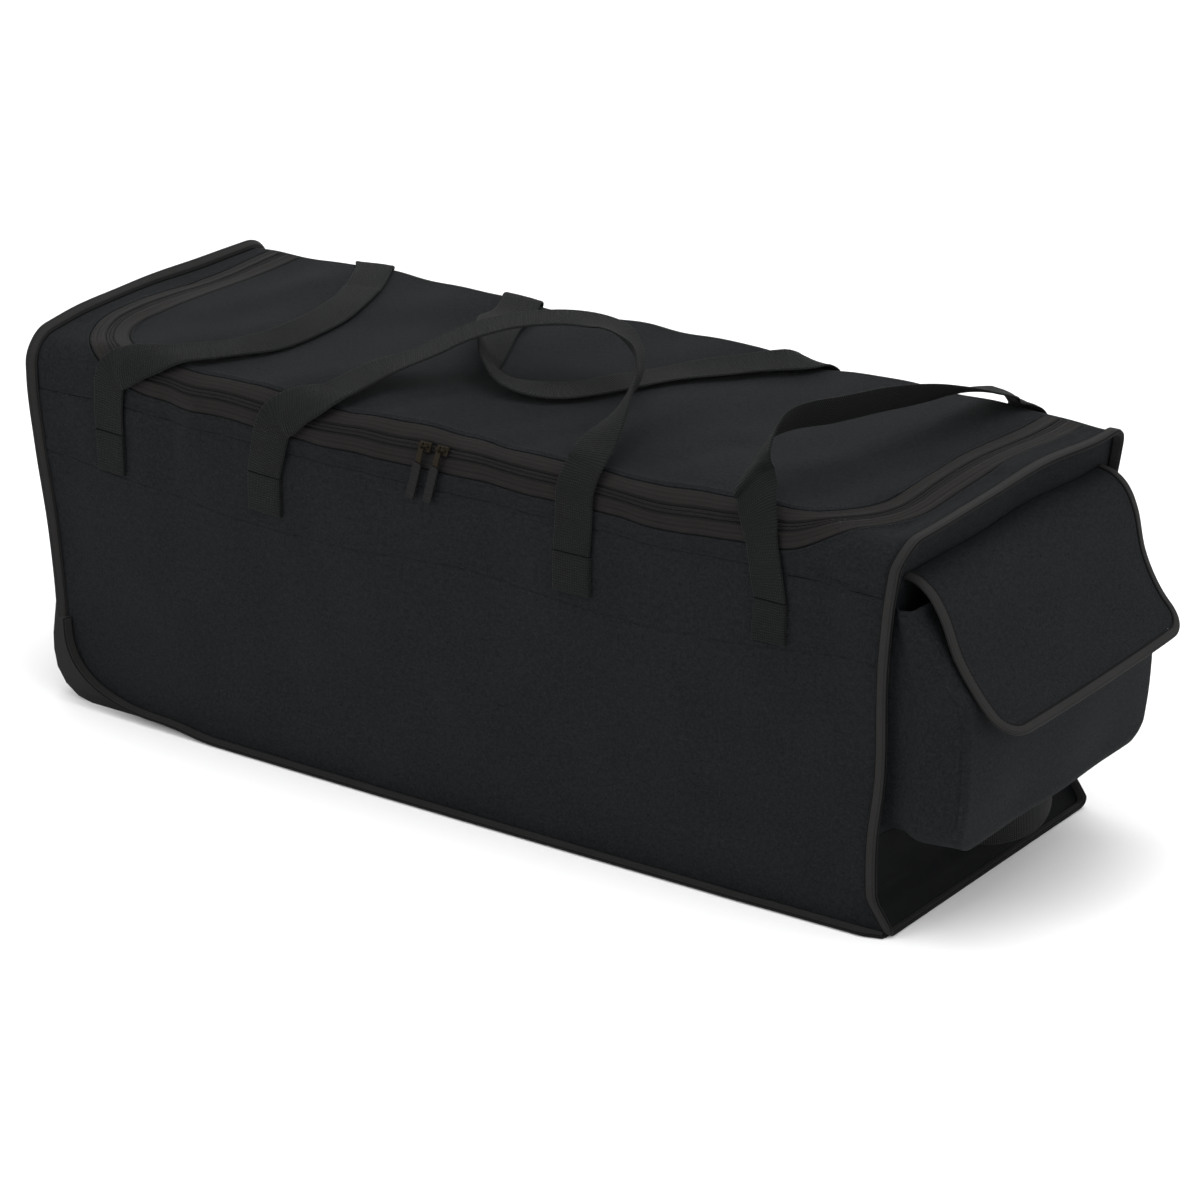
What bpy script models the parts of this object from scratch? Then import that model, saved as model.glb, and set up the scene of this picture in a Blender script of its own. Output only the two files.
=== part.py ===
"""Wheeled cricket kit bag: a soft rectangular body with a zipped lid, webbing straps, an end pocket
and two moulded wheel housings.

Metres, +Z up. X runs along the bag towards the pocket end, -Y is the front, and the origin is the
middle of the underside. The fabric pieces are laid out on a plain rounded box and then moved by
soften(), which gives the whole bag its bellied sides, crowned lid and tucked ends.
"""
import math

import bmesh
import bpy
from mathutils import Matrix, Vector

# Fabric body
BAG_LENGTH = 0.948
BAG_WIDTH = 0.338
BAG_HEIGHT = 0.362
FABRIC = 0.003
TOP_FRONT_RADIUS = 0.024
TOP_BACK_RADIUS = 0.020
CURL_RUN = 0.160
CURL_RISE = 0.086
CURL_SQUARENESS = 2.8
SEAM_GAP = 0.0004
END_CLEARANCE = 0.001

# How far the soft body departs from the plain box
SIDE_BELLY = 0.009
LID_RISE = 0.014
END_TOP_CROWN = -0.002
TOP_SAG = 0.003
BACK_LEAN = 0.008
BACK_RISE = 0.009
LEFT_TUCK = 0.025
RIGHT_TUCK = 0.022
END_CROWN = 0.010
RIGHT_FLARE = 0.018
FLARE_REACH = 0.100
TUCK_REACH = 0.220
SKID_LIFT = 0.006
SKID_LIFT_END = -0.262
SKID_LIFT_FADE = 0.070

# Share of each departure by height above the floor, as a share of the bag's height
BELLY_BY_HEIGHT = ((0.0, 0.55), (0.15, 0.80), (0.45, 1.0), (0.8, 0.5), (1.0, 0.10))
LEFT_TUCK_BY_HEIGHT = ((0.0, 1.0), (0.24, 0.97), (0.45, 0.72), (0.56, 0.58), (0.72, 0.34), (0.9, 0.03),
                       (1.0, 0.0))
RIGHT_TUCK_BY_HEIGHT = ((0.0, 0.0), (0.045, 0.4), (0.10, 0.95), (0.22, 1.0), (0.41, 0.78), (0.82, 0.45),
                        (0.94, 0.2), (1.0, 0.0))
LEFT_CROWN_BY_HEIGHT = ((0.0, 0.0), (0.3, 0.0), (0.6, 0.7), (0.8, 1.0), (1.0, 0.6))
RIGHT_CROWN_BY_HEIGHT = ((0.0, 0.0), (0.1, 0.12), (0.22, 0.2), (0.35, 0.3), (0.6, 0.7), (0.8, 1.0), (1.0, 0.6))
FLARE_CENTRE = 0.92

# Shares of the lid's rise, and of the back edge's own rise, by place along the bag as a share of half its length
LID_RISE_ALONG = ((-1.0, 0.25), (-0.85, 0.4), (-0.6, 0.72), (0.0, 0.72), (0.3, 0.92), (0.75, 1.0), (0.9, 0.9),
                  (1.0, 0.8))
BACK_RISE_ALONG = ((-1.0, 0.0), (-0.65, 0.1), (-0.45, 0.5), (-0.15, 0.25), (0.03, 0.85), (0.2, 1.0), (0.3, 0.75),
                   (0.42, 0.1), (0.8, 0.1), (1.0, 0.55))

# Zip: a U round the lid, lying on the front edge and along both ends
ZIP_TAPE_WIDTH = 0.016
ZIP_COIL_WIDTH = 0.006
ZIP_TAPE_THICKNESS = 0.0014
ZIP_COIL_RISE = 0.0008
ZIP_EDGE_DROP = 0.030
ZIP_END_INSET = 0.041
ZIP_CORNER_RADIUS = 0.095
ZIP_GAP = 0.0008
UPPER_BAND_DEPTH = 0.018
BAND_HEM = 0.006

# Bound seams
BINDING_REACH = 0.011
BINDING_THICKNESS = 0.005
BINDING_GAP = 0.0006
BINDING_TAPER = 0.7
LEFT_BINDING_TILT = math.radians(35)
BASE_CORNER_RADIUS = 0.008
FLOOR_REACH_SHARE = 0.45
BASE_BINDING_TAPER = 0.018

# Webbing
HANDLE_WEBBING = 0.040
GRIP_WEBBING = 0.036
WEBBING_THICKNESS = 0.002
ANCHOR_HEIGHT = 0.038
ANCHOR_THICKNESS = 0.004
ANCHOR_DROP = 0.026
STRAP_END_GAP = 0.001
WEBBING_CLEARANCE = 0.0020
LEFT_GRIP_X = -0.387
RIGHT_GRIP_X = 0.358
HANDLE_LEFT_X = -0.197
HANDLE_RIGHT_X = 0.148
BACK_ANCHOR_SHIFT = 0.036

# End handles
LEFT_HANDLE_HEIGHT = 0.214
LEFT_HANDLE_WEBBING = 0.038
LEFT_HANDLE_BOW = 0.036
LEFT_HANDLE_DROOP = 0.004
LEFT_HANDLE_INSET = 0.004
LEFT_HANDLE_SWELL = 0.8
HAUL_WEBBING = 0.025
HAUL_HEIGHT = 0.066
HAUL_SHIFT = 0.030
HAUL_SPAN = 0.172
HAUL_BOW = 0.047
END_WEBBING_GAP = 0.0009
HAUL_DROOP = 0.020
HAUL_SWELL = 0.5

# End pocket
LOWER_BAND_HEIGHT = 0.084
LOWER_ROW_SHARE = 0.75
POCKET_INSET = 0.008
POCKET_RISE = 0.006
POCKET_TOP_DROP = 0.058
POCKET_DEPTH = 0.086
POCKET_BELLY = 0.003
POCKET_SHIFT = -0.001
POCKET_CORNER = 0.024
POCKET_FABRIC = 0.0025
POCKET_ROWS = 8
FLAP_NEAR_INSET = 0.014
FLAP_FAR_INSET = 0.006
FLAP_TILT = 0.012
FLAP_GAP = 0.001
FLAP_CREASE_DROP = 0.037
FLAP_OVERHANG = 0.031
FLAP_DROP = 0.1245
FLAP_FABRIC = 0.003
FLAP_CORNER = 0.028
FLAP_BINDING_WIDTH = 0.010
FLAP_BINDING_THICKNESS = 0.0046
FLAP_PROFILE = ((0.0, 0.0), (0.116, 0.027), (0.244, 0.111), (0.358, 0.259), (0.5, 0.526), (0.73, 0.79), (1.0, 1.0))
POCKET_DEPTH_BY_HEIGHT = ((0.0, 1.02), (0.2, 1.03), (0.5, 1.0), (0.64, 0.93), (0.74, 0.74), (0.8, 0.63),
                          (0.9, 0.45), (1.0, 0.28))

# Wheels
WHEEL_RADIUS = 0.038
WHEEL_WIDTH = 0.024
TYRE_DEPTH = 0.011
TYRE_SHOULDER = 0.003
HUB_GAP = 0.0003
HUB_RIM = 0.004
HUB_WEB = 0.003
HUB_BOSS = 0.0095
HUB_RECESS = 0.001
AXLE_RADIUS = 0.004
AXLE_CLEARANCE = 0.0004
WHEEL_CLEARANCE = 0.0025
HOUSING_WIDTH = 0.086
HOUSING_INSET = 0.003
HOUSING_RISE = 0.100
HOUSING_PROUD = 0.021
HOUSING_CORNER = 0.046
HOUSING_SHOULDER = 0.062
HOUSING_LIP = 0.015
HOUSING_TOE = 0.002
HOUSING_GAP = 0.001
HOUSING_WALL = 0.005
WHEEL_POKE = 0.006

# Zip sliders and pulls
SLIDER_LENGTH = 0.013
SLIDER_WIDTH = 0.009
SLIDER_HEIGHT = 0.0034
SLIDER_PITCH = 0.019
SLIDER_MIDDLE_X = -0.0075
BRIDGE_WIRE = 0.0009
BRIDGE_RISE = 0.0044
PULL_EYE_RADIUS = 0.0024
PULL_WIRE = 0.0007
LINK_LENGTH = 0.015
LINK_WIDTH = 0.0056
LINK_THICKNESS = 0.0014
TAB_LENGTH = 0.036
TAB_WIDTH = 0.0085
TAB_THICKNESS = 0.003
TAB_RIBS = 6
TAB_GROOVE = 0.0006
TAB_END_SHARE = 0.8
TAB_GAP = 0.0003
PULL_LEAN = math.radians(14)

# Straps by station between their two anchors: along as a share of half the bag's length; round as the
# place on the section (0 to 1 up the front, 2 to 3 over the top, 4 to 5 down the back, edges between);
# lift over resting on the bag as a share of its height; twist about its own run in degrees
LEFT_GRIP_RUN = (
    (-0.813, 0.95, 0.001, 0), (-0.802, 1.15, 0.005, 0), (-0.777, 1.36, 0.009, 0), (-0.738, 1.65, 0.010, 0),
    (-0.700, 1.93, 0.010, 0), (-0.655, 2.055, 0.012, 2), (-0.606, 2.15, 0.010, 4), (-0.570, 2.27, 0.008, 8),
    (-0.556, 2.44, 0.006, 8), (-0.572, 2.62, 0.003, 7), (-0.615, 2.81, 0.0, 4), (-0.671, 2.98, 0.0, 0),
    (-0.702, 3.4, 0.0, 0), (-0.722, 3.8, 0.0, 0), (-0.736, 4.06, 0.0, 0),
)
RIGHT_GRIP_RUN = (
    (0.742, 0.93, 0.0, 0), (0.724, 1.15, 0.002, -4), (0.706, 1.58, 0.027, -20), (0.690, 1.83, 0.057, -34),
    (0.680, 1.98, 0.090, -46), (0.674, 2.07, 0.128, -56), (0.673, 2.13, 0.142, -58), (0.684, 2.22, 0.140, -58),
    (0.710, 2.34, 0.130, -58), (0.740, 2.50, 0.120, -56), (0.766, 2.64, 0.103, -48), (0.781, 2.77, 0.078, -30),
    (0.788, 2.90, 0.050, -8), (0.796, 3.0, 0.024, 0), (0.812, 3.4, 0.006, 0), (0.826, 4.0, 0.0, 0),
)
FRONT_HANDLE_RUN = (
    (-0.406, 0.92, 0.003, 180), (-0.390, 1.12, 0.005, 180), (-0.365, 1.42, 0.010, 180), (-0.334, 1.75, 0.013, 180),
    (-0.297, 2.02, 0.018, 180), (-0.257, 2.16, 0.034, 180), (-0.184, 2.26, 0.076, 180), (-0.124, 2.35, 0.121, 180),
    (-0.061, 2.445, 0.143, 180), (0.023, 2.53, 0.151, 180), (0.110, 2.54, 0.150, 172), (0.170, 2.49, 0.147, 152),
    (0.222, 2.42, 0.137, 126), (0.262, 2.35, 0.122, 96), (0.289, 2.26, 0.102, 70), (0.304, 2.16, 0.082, 46),
    (0.313, 2.06, 0.055, 16), (0.318, 1.86, 0.028, 0), (0.316, 1.5, 0.012, 0), (0.314, 0.95, 0.0, 0),
)
BACK_HANDLE_RUN = (
    (-0.334, 4.0, 0.0, 0), (-0.326, 3.5, 0.0, 0), (-0.308, 3.03, 0.003, 0), (-0.278, 2.90, 0.010, -6),
    (-0.238, 2.74, 0.024, -20), (-0.173, 2.56, 0.039, -42), (-0.120, 2.43, 0.046, -62), (-0.075, 2.36, 0.034, -42),
    (-0.017, 2.335, 0.016, -12), (0.050, 2.36, 0.010, 0), (0.107, 2.44, 0.007, 0), (0.150, 2.56, 0.005, 0),
    (0.205, 2.69, 0.006, 0), (0.253, 2.80, 0.008, 0), (0.310, 2.90, 0.010, 0), (0.366, 3.0, 0.008, 0),
    (0.382, 3.5, 0.002, 0), (0.388, 4.0, 0.0, 0),
)

# Soft folds of the pocket's side gusset: share of its depth, and share of the deepest fold
GUSSET_FOLD = 0.004
GUSSET_FOLDS = ((0.0, 0.0), (0.22, -1.0), (0.5, 0.8), (0.75, -0.5), (1.0, 0.0))
POCKET_SEAM = 0.0008

# Rows up the sides as shares of the height to the upper seam, and turns of the curl
SIDE_ROWS = (0.0, 0.03, 0.07, 0.12, 0.25, 0.45, 0.68, 0.86, 1.0)
CURL_TURNS = [math.radians(a) for a in (0, 8, 20, 36, 54, 72, 90)]

# How many stations the lofted shapes use
CORNER_STEPS = 4
RUN_STEPS = 8
ARC_STEPS = 5
ZIP_TURN_STEPS = 8
ZIP_ARC_STEPS = ZIP_TURN_STEPS - 3
ZIP_LEG_STEPS = 4
STRAP_STEPS_PER_STATION = 2
END_HANDLE_STEPS = 16
TURNED_STEPS = 20

HALF_LENGTH = BAG_LENGTH / 2
HALF_WIDTH = BAG_WIDTH / 2
ZIP_BAND = 2 * ZIP_TAPE_WIDTH + ZIP_COIL_WIDTH
ZIP_LEG_X = HALF_LENGTH - ZIP_END_INSET

# Arc lengths round the cross-section, from the foot of the front face
FRONT_ARC_START = BAG_HEIGHT - TOP_FRONT_RADIUS
TOP_START = FRONT_ARC_START + TOP_FRONT_RADIUS * math.pi / 2
HINGE_LINE = TOP_START + BAG_WIDTH - TOP_FRONT_RADIUS - TOP_BACK_RADIUS
BACK_FACE_START = HINGE_LINE + TOP_BACK_RADIUS * math.pi / 2
SECTION_END = BACK_FACE_START + BAG_HEIGHT - TOP_BACK_RADIUS
ZIP_RUN_LINE = BAG_HEIGHT - ZIP_EDGE_DROP + ZIP_BAND / 2
UPPER_SEAM = BAG_HEIGHT - ZIP_EDGE_DROP - UPPER_BAND_DEPTH

# Places that follow the bag's own edges
ANCHOR_TOP = UPPER_SEAM - ANCHOR_DROP
POCKET_WIDTH = BAG_WIDTH - 2 * POCKET_INSET
POCKET_BOTTOM = LOWER_BAND_HEIGHT + POCKET_RISE
POCKET_TOP = BAG_HEIGHT - POCKET_TOP_DROP
FLAP_WIDTH = POCKET_WIDTH - FLAP_NEAR_INSET - FLAP_FAR_INSET
FLAP_SHIFT = POCKET_SHIFT + (FLAP_NEAR_INSET - FLAP_FAR_INSET) / 2
FLAP_CREASE_HEIGHT = BAG_HEIGHT - FLAP_CREASE_DROP
FLAP_REACH = POCKET_DEPTH + FLAP_OVERHANG


def read_table(rows, at):
    """Smooth value at a place in a table of (place, value) rows, never past the rows either side."""
    if at <= rows[0][0]:
        return rows[0][1]
    if at >= rows[-1][0]:
        return rows[-1][1]
    last = len(rows) - 1
    rates = [(b[1] - a[1]) / (b[0] - a[0]) for a, b in zip(rows, rows[1:])]
    slopes = [0.0]
    for a, b in zip(rates, rates[1:]):
        slopes.append(2 * a * b / (a + b) if a * b > 0 else 0.0)
    slopes.append(0.0)
    for i in range(last):
        if at <= rows[i + 1][0]:
            span = rows[i + 1][0] - rows[i][0]
            t = (at - rows[i][0]) / span
            return (rows[i][1] * (1 + 2 * t) * (1 - t) ** 2 + span * slopes[i] * t * (1 - t) ** 2
                    + rows[i + 1][1] * t * t * (3 - 2 * t) + span * slopes[i + 1] * t * t * (t - 1))
    return rows[-1][1]


def ease(t):
    """Smooth step from 0 to 1."""
    t = min(max(t, 0.0), 1.0)
    return t * t * (3 - 2 * t)


def soften(point):
    """Moves a point of the plain box to its place on the soft bag."""
    x, y, z = point
    along = min(max(x / HALF_LENGTH, -1.0), 1.0)
    across = min(max(y / HALF_WIDTH, -1.0), 1.0)
    height = min(max(z / BAG_HEIGHT, 0.0), 1.0)
    middle = 1 - along * along
    near_left = ease(1 - (x + HALF_LENGTH) / TUCK_REACH)
    near_right = ease(1 - (HALF_LENGTH - x) / TUCK_REACH)
    new_y = y + across * SIDE_BELLY * middle * read_table(BELLY_BY_HEIGHT, height)
    new_y += BACK_LEAN * max(across, 0.0) * height * height
    lid_rise = LID_RISE * read_table(LID_RISE_ALONG, along) * (1 - ((1 - across) / 2) ** 4)
    end_top = END_TOP_CROWN * near_right * (1 - across * across)
    back_rise = BACK_RISE * read_table(BACK_RISE_ALONG, along) * max(across, 0.0) ** 3
    new_z = z + (lid_rise + end_top + back_rise - TOP_SAG * middle) * height ** 3
    new_z += SKID_LIFT * ease((SKID_LIFT_END - x) / SKID_LIFT_FADE) * max(0.0, 1 - max(z, 0.0) / CURL_RISE)
    crown = END_CROWN * (1 - across * across)
    left_crown = crown * read_table(LEFT_CROWN_BY_HEIGHT, height)
    right_crown = crown * read_table(RIGHT_CROWN_BY_HEIGHT, height)
    new_x = x + near_left * (LEFT_TUCK * read_table(LEFT_TUCK_BY_HEIGHT, height) - left_crown)
    new_x -= near_right * (RIGHT_TUCK * read_table(RIGHT_TUCK_BY_HEIGHT, height) - right_crown)
    from_corner = Vector((y - HALF_WIDTH, z - FLARE_CENTRE * BAG_HEIGHT)).length
    flare = math.exp(-(from_corner / FLARE_REACH) ** 2)
    new_x += flare * near_right * RIGHT_FLARE
    return Vector((new_x, new_y, new_z))


def wrap(x, s, out=0.0):
    """Point of the plain box at x and arc length s round the section, moved outward by out."""
    if s < FRONT_ARC_START:
        y, z, ny, nz = -HALF_WIDTH, s, -1.0, 0.0
    elif s < TOP_START:
        a = (s - FRONT_ARC_START) / TOP_FRONT_RADIUS
        ny, nz = -math.cos(a), math.sin(a)
        y = -HALF_WIDTH + TOP_FRONT_RADIUS + TOP_FRONT_RADIUS * ny
        z = BAG_HEIGHT - TOP_FRONT_RADIUS + TOP_FRONT_RADIUS * nz
    elif s < HINGE_LINE:
        y, z, ny, nz = -HALF_WIDTH + TOP_FRONT_RADIUS + s - TOP_START, BAG_HEIGHT, 0.0, 1.0
    elif s < BACK_FACE_START:
        a = (s - HINGE_LINE) / TOP_BACK_RADIUS
        ny, nz = math.sin(a), math.cos(a)
        y = HALF_WIDTH - TOP_BACK_RADIUS + TOP_BACK_RADIUS * ny
        z = BAG_HEIGHT - TOP_BACK_RADIUS + TOP_BACK_RADIUS * nz
    else:
        y, z, ny, nz = HALF_WIDTH, BAG_HEIGHT - TOP_BACK_RADIUS - (s - BACK_FACE_START), 1.0, 0.0
    return Vector((x, y + out * ny, z + out * nz))


def spread(low, high, steps):
    """Evenly spaced values from low to high, both included."""
    return [low + (high - low) * i / steps for i in range(steps + 1)]


def make_material(name, colour, roughness, metallic=0.0):
    """Plain surface of one colour."""
    material = bpy.data.materials.new(name)
    material.use_nodes = True
    shader = material.node_tree.nodes["Principled BSDF"]
    shader.inputs["Base Color"].default_value = (*colour, 1.0)
    shader.inputs["Roughness"].default_value = roughness
    shader.inputs["Metallic"].default_value = metallic
    material.diffuse_color = (*colour, 1.0)
    return material


def add_object(name, mesh, material, smooth=True):
    """Puts a mesh in the bag's collection, under the bag's empty."""
    thing = bpy.data.objects.new(name, mesh)
    bpy.data.collections[BAG_NAME].objects.link(thing)
    thing.parent = bpy.data.objects[BAG_NAME]
    mesh.materials.append(material)
    if smooth:
        mesh.shade_smooth()
        mesh.set_sharp_from_angle(angle=math.radians(40))
    return thing


def sheet(name, outer, inner, material, ring=False):
    """Closed sheet between two grids of points, outer[i][j] over inner[i][j].

    With ring set, the last row of the grid joins the first.
    """
    mesh = bpy.data.meshes.new(name)
    bm = bmesh.new()
    top = [[bm.verts.new(p) for p in row] for row in outer]
    low = [[bm.verts.new(p) for p in row] for row in inner]
    rows, columns = len(top), len(top[0])
    pairs = [(i, i + 1) for i in range(rows - 1)]
    if ring:
        pairs.append((rows - 1, 0))
    for i, k in pairs:
        for j in range(columns - 1):
            bm.faces.new((top[i][j], top[k][j], top[k][j + 1], top[i][j + 1]))
            bm.faces.new((low[i][j], low[i][j + 1], low[k][j + 1], low[k][j]))
        bm.faces.new((top[i][0], low[i][0], low[k][0], top[k][0]))
        bm.faces.new((top[i][-1], top[k][-1], low[k][-1], low[i][-1]))
    if not ring:
        for j in range(columns - 1):
            bm.faces.new((top[0][j], top[0][j + 1], low[0][j + 1], low[0][j]))
            bm.faces.new((top[-1][j], low[-1][j], low[-1][j + 1], top[-1][j + 1]))
    bmesh.ops.recalc_face_normals(bm, faces=bm.faces)
    bm.to_mesh(mesh)
    bm.free()
    return add_object(name, mesh, material)


def box_sheet(name, points, normals, thickness, material, lift=0.0):
    """Sheet laid on the plain box and then softened: outer face at lift, inner face below it."""
    outer = [[soften(p + n * lift) for p, n in zip(ps, ns)] for ps, ns in zip(points, normals)]
    inner = [[soften(p + n * (lift - thickness)) for p, n in zip(ps, ns)] for ps, ns in zip(points, normals)]
    return sheet(name, outer, inner, material)


def wrap_sheet(name, places, thickness, material, lift=0.0):
    """Sheet on the wrapped surface from a grid of (x, s) places."""
    outer = [[soften(wrap(x, s, lift)) for x, s in row] for row in places]
    inner = [[soften(wrap(x, s, lift - thickness)) for x, s in row] for row in places]
    return sheet(name, outer, inner, material)


def curl_point(turn):
    """Wheel-end curl at a turn from 0 at its top to a quarter circle at the floor: x, z and normal."""
    power = 2 / CURL_SQUARENESS
    over = math.cos(turn) ** power if turn < math.pi / 2 else 0.0
    up = math.sin(turn) ** power
    normal = Vector((-over ** (CURL_SQUARENESS - 1) / CURL_RUN, 0.0, -up ** (CURL_SQUARENESS - 1) / CURL_RISE))
    return -HALF_LENGTH + CURL_RUN * (1 - over), CURL_RISE * (1 - up), normal.normalized()


def side_columns():
    """Stations in x along a side panel with the height of its lower edge, closer together on the curl."""
    curl = [curl_point(a)[:2] for a in CURL_TURNS]
    straight = spread(curl[-1][0], SKID_LIFT_END, 2)[1:] + spread(SKID_LIFT_END, HALF_LENGTH, RUN_STEPS)[1:-1]
    return curl + [(x, 0.0) for x in straight + [HALF_LENGTH - 2 * BAND_HEM, HALF_LENGTH]]


def side_heights(low):
    """Heights of the rows up a side, from low to the upper seam."""
    return [low + (UPPER_SEAM - low) * t for t in SIDE_ROWS]


def zip_stations():
    """Middle line of the zip as (x, s, outward x, outward s), from the left leg round to the right."""
    corner_s = ZIP_RUN_LINE + ZIP_CORNER_RADIUS
    corner_x = ZIP_LEG_X - ZIP_CORNER_RADIUS
    half = [(ZIP_LEG_X, s, 1.0, 0.0) for s in spread(HINGE_LINE, corner_s, ZIP_LEG_STEPS)[:-1]]
    for a in spread(0, math.pi / 2, ZIP_TURN_STEPS):
        half.append((corner_x + ZIP_CORNER_RADIUS * math.cos(a), corner_s - ZIP_CORNER_RADIUS * math.sin(a),
                     math.cos(a), -math.sin(a)))
    front = [(x, ZIP_RUN_LINE, 0.0, -1.0) for x in spread(-corner_x, corner_x, RUN_STEPS)[1:-1]]
    left = [(-x, s, -nx, ns) for x, s, nx, ns in half]
    return left + front + half[::-1]


def zip_edge(offset):
    """Line at an offset from the zip's middle, outward positive."""
    return [(x + offset * nx, s + offset * ns) for x, s, nx, ns in zip_stations()]


def make_zip_strip(name, inner_offset, outer_offset, across, thickness, lift, material):
    """Strip of the zip between two offsets from its middle line."""
    lines = [zip_edge(o) for o in spread(inner_offset, outer_offset, across)]
    return wrap_sheet(name, [list(row) for row in zip(*lines)], thickness, material, lift)


def make_zip(tape, coil):
    half_coil = ZIP_COIL_WIDTH / 2
    half_band = ZIP_BAND / 2
    make_zip_strip("zip_tape_outer", half_coil + SEAM_GAP, half_band, 2, ZIP_TAPE_THICKNESS, 0.0, tape)
    make_zip_strip("zip_tape_inner", -half_band, -half_coil - SEAM_GAP, 2, ZIP_TAPE_THICKNESS, 0.0, tape)
    make_zip_strip("zip_coil", -half_coil, half_coil, 1, ZIP_TAPE_THICKNESS + ZIP_COIL_RISE, ZIP_COIL_RISE, coil)


def make_side_panels(cloth):
    """Front and back panels, with the wheel-end corner rounded."""
    seam = UPPER_SEAM - SEAM_GAP
    front = [[(x, min(h, seam)) for h in side_heights(low)] for x, low in side_columns()]
    wrap_sheet("front_panel", front, FABRIC, cloth)
    back = []
    for x, low in side_columns():
        arc = spread(HINGE_LINE + SEAM_GAP, BACK_FACE_START, ARC_STEPS)
        back.append([(x, s) for s in arc + [SECTION_END - h for h in side_heights(low)[::-1]]])
    wrap_sheet("back_panel", back, FABRIC, cloth)


def upper_band_rim():
    """Outer edge of the upper band as (x, s), one place for each station of the zip."""
    corner_s = ZIP_RUN_LINE + ZIP_CORNER_RADIUS
    corner_x = ZIP_LEG_X - ZIP_CORNER_RADIUS
    leg = [(HALF_LENGTH, s) for s in spread(HINGE_LINE, corner_s, ZIP_LEG_STEPS)[:-1]]
    turn = [(HALF_LENGTH, corner_s)]
    turn += [(HALF_LENGTH, s) for s in spread(TOP_START, FRONT_ARC_START, ZIP_ARC_STEPS)]
    turn += [(HALF_LENGTH, UPPER_SEAM), (corner_x, UPPER_SEAM)]
    half = leg + turn
    front = [(x, UPPER_SEAM) for x in spread(-corner_x, corner_x, RUN_STEPS)[1:-1]]
    return [(-x, s) for x, s in half] + front + half[::-1]


def make_upper_band(cloth):
    """U-shaped fabric between the zip and the front seam, end bindings and hinge line."""
    grid = []
    for (xi, si), (xo, so) in zip(zip_edge(ZIP_BAND / 2 + ZIP_GAP), upper_band_rim()):
        on_end = abs(xo) == HALF_LENGTH
        hem = (xo * (1 - BAND_HEM / HALF_LENGTH), so) if on_end else (xo, so + BAND_HEM / 2)
        row = [(xi + (hem[0] - xi) * t, si + (hem[1] - si) * t) for t in (0.0, 0.3, 0.65, 1.0)]
        grid.append(row + [(xo, so)])
    wrap_sheet("upper_band", grid, FABRIC, cloth)


def make_lid(cloth):
    """Lid inside the zip, back to the hinge line."""
    edge = zip_edge(-ZIP_BAND / 2 - ZIP_GAP)
    corner_s = ZIP_RUN_LINE + ZIP_CORNER_RADIUS
    columns = [(x, s) for x, s in edge if s <= corner_s + SEAM_GAP]
    rows = (0.0, 0.1, 0.4, 0.7, 1.0)
    wrap_sheet("lid_panel", [[(x, s + (HINGE_LINE - s) * t) for t in rows] for x, s in columns], FABRIC, cloth)


def make_base(cloth):
    """Bottom panel, curling up at the wheel end."""
    inset = HALF_WIDTH - FABRIC - END_CLEARANCE
    down = Vector((0.0, 0.0, -1.0))
    run = [(x, 0.0, down) for x in spread(HALF_LENGTH - FABRIC - END_CLEARANCE, SKID_LIFT_END, 5)]
    run += [(x, 0.0, down) for x in spread(SKID_LIFT_END, CURL_RUN - HALF_LENGTH, 2)[1:]]
    run += [curl_point(turn) for turn in CURL_TURNS[-2::-1]]
    ys = spread(-inset, inset, 3)
    points = [[Vector((x, y, z)) for y in ys] for x, z, _ in run]
    normals = [[normal for _ in ys] for _, _, normal in run]
    return box_sheet("base_panel", points, normals, FABRIC, cloth)


def end_top(y):
    """Height of the end panels' edge at y, just inside the wrapped panels."""
    inset = FABRIC + END_CLEARANCE
    top = BAG_HEIGHT - inset
    front = TOP_FRONT_RADIUS - inset
    back = TOP_BACK_RADIUS - inset
    over_front = -HALF_WIDTH + inset + front - y
    over_back = y - (HALF_WIDTH - inset - back)
    if over_front > 0:
        return top - front + math.sqrt(max(front ** 2 - over_front ** 2, 0.0))
    if over_back > 0:
        return top - back + math.sqrt(max(back ** 2 - over_back ** 2, 0.0))
    return top


def end_columns():
    """Stations in y across an end panel, closer together on its top corners."""
    inset = FABRIC + END_CLEARANCE
    front = TOP_FRONT_RADIUS - inset
    back = TOP_BACK_RADIUS - inset
    first = -HALF_WIDTH + inset
    last = HALF_WIDTH - inset
    turn = spread(0, math.pi / 2, CORNER_STEPS)
    ys = [first + front * (1 - math.cos(a)) for a in turn]
    ys += spread(first + front, last - back, 4)[1:-1]
    return ys + [last - back * (1 - math.cos(a)) for a in turn[::-1]]


def make_end_panel(name, side, heights, cloth, to_top=False):
    """Flat end panel through rows of heights, and on up to the rounded top if asked."""
    points = []
    for y in end_columns():
        zs = list(heights)
        if to_top:
            zs += spread(zs[-1], end_top(y), 2)[1:]
        points.append([Vector((side * HALF_LENGTH, y, z)) for z in zs])
    normals = [[Vector((side, 0.0, 0.0)) for _ in row] for row in points]
    return box_sheet(name, points, normals, FABRIC, cloth)


def make_ends(cloth, smooth_cloth):
    left = side_heights(CURL_RISE)
    left[0] += SEAM_GAP
    make_end_panel("left_end_panel", -1, left, cloth, to_top=True)
    split = LOWER_BAND_HEIGHT
    right = [h for h in side_heights(0.0) if h > split + FABRIC]
    make_end_panel("right_end_panel", 1, [split + SEAM_GAP] + right, cloth, to_top=True)
    last_row = LOWER_ROW_SHARE * split
    lower = [h for h in side_heights(0.0) if h < last_row - FABRIC]
    make_end_panel("right_end_lower_band", 1, lower + [last_row, split], smooth_cloth)


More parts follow.
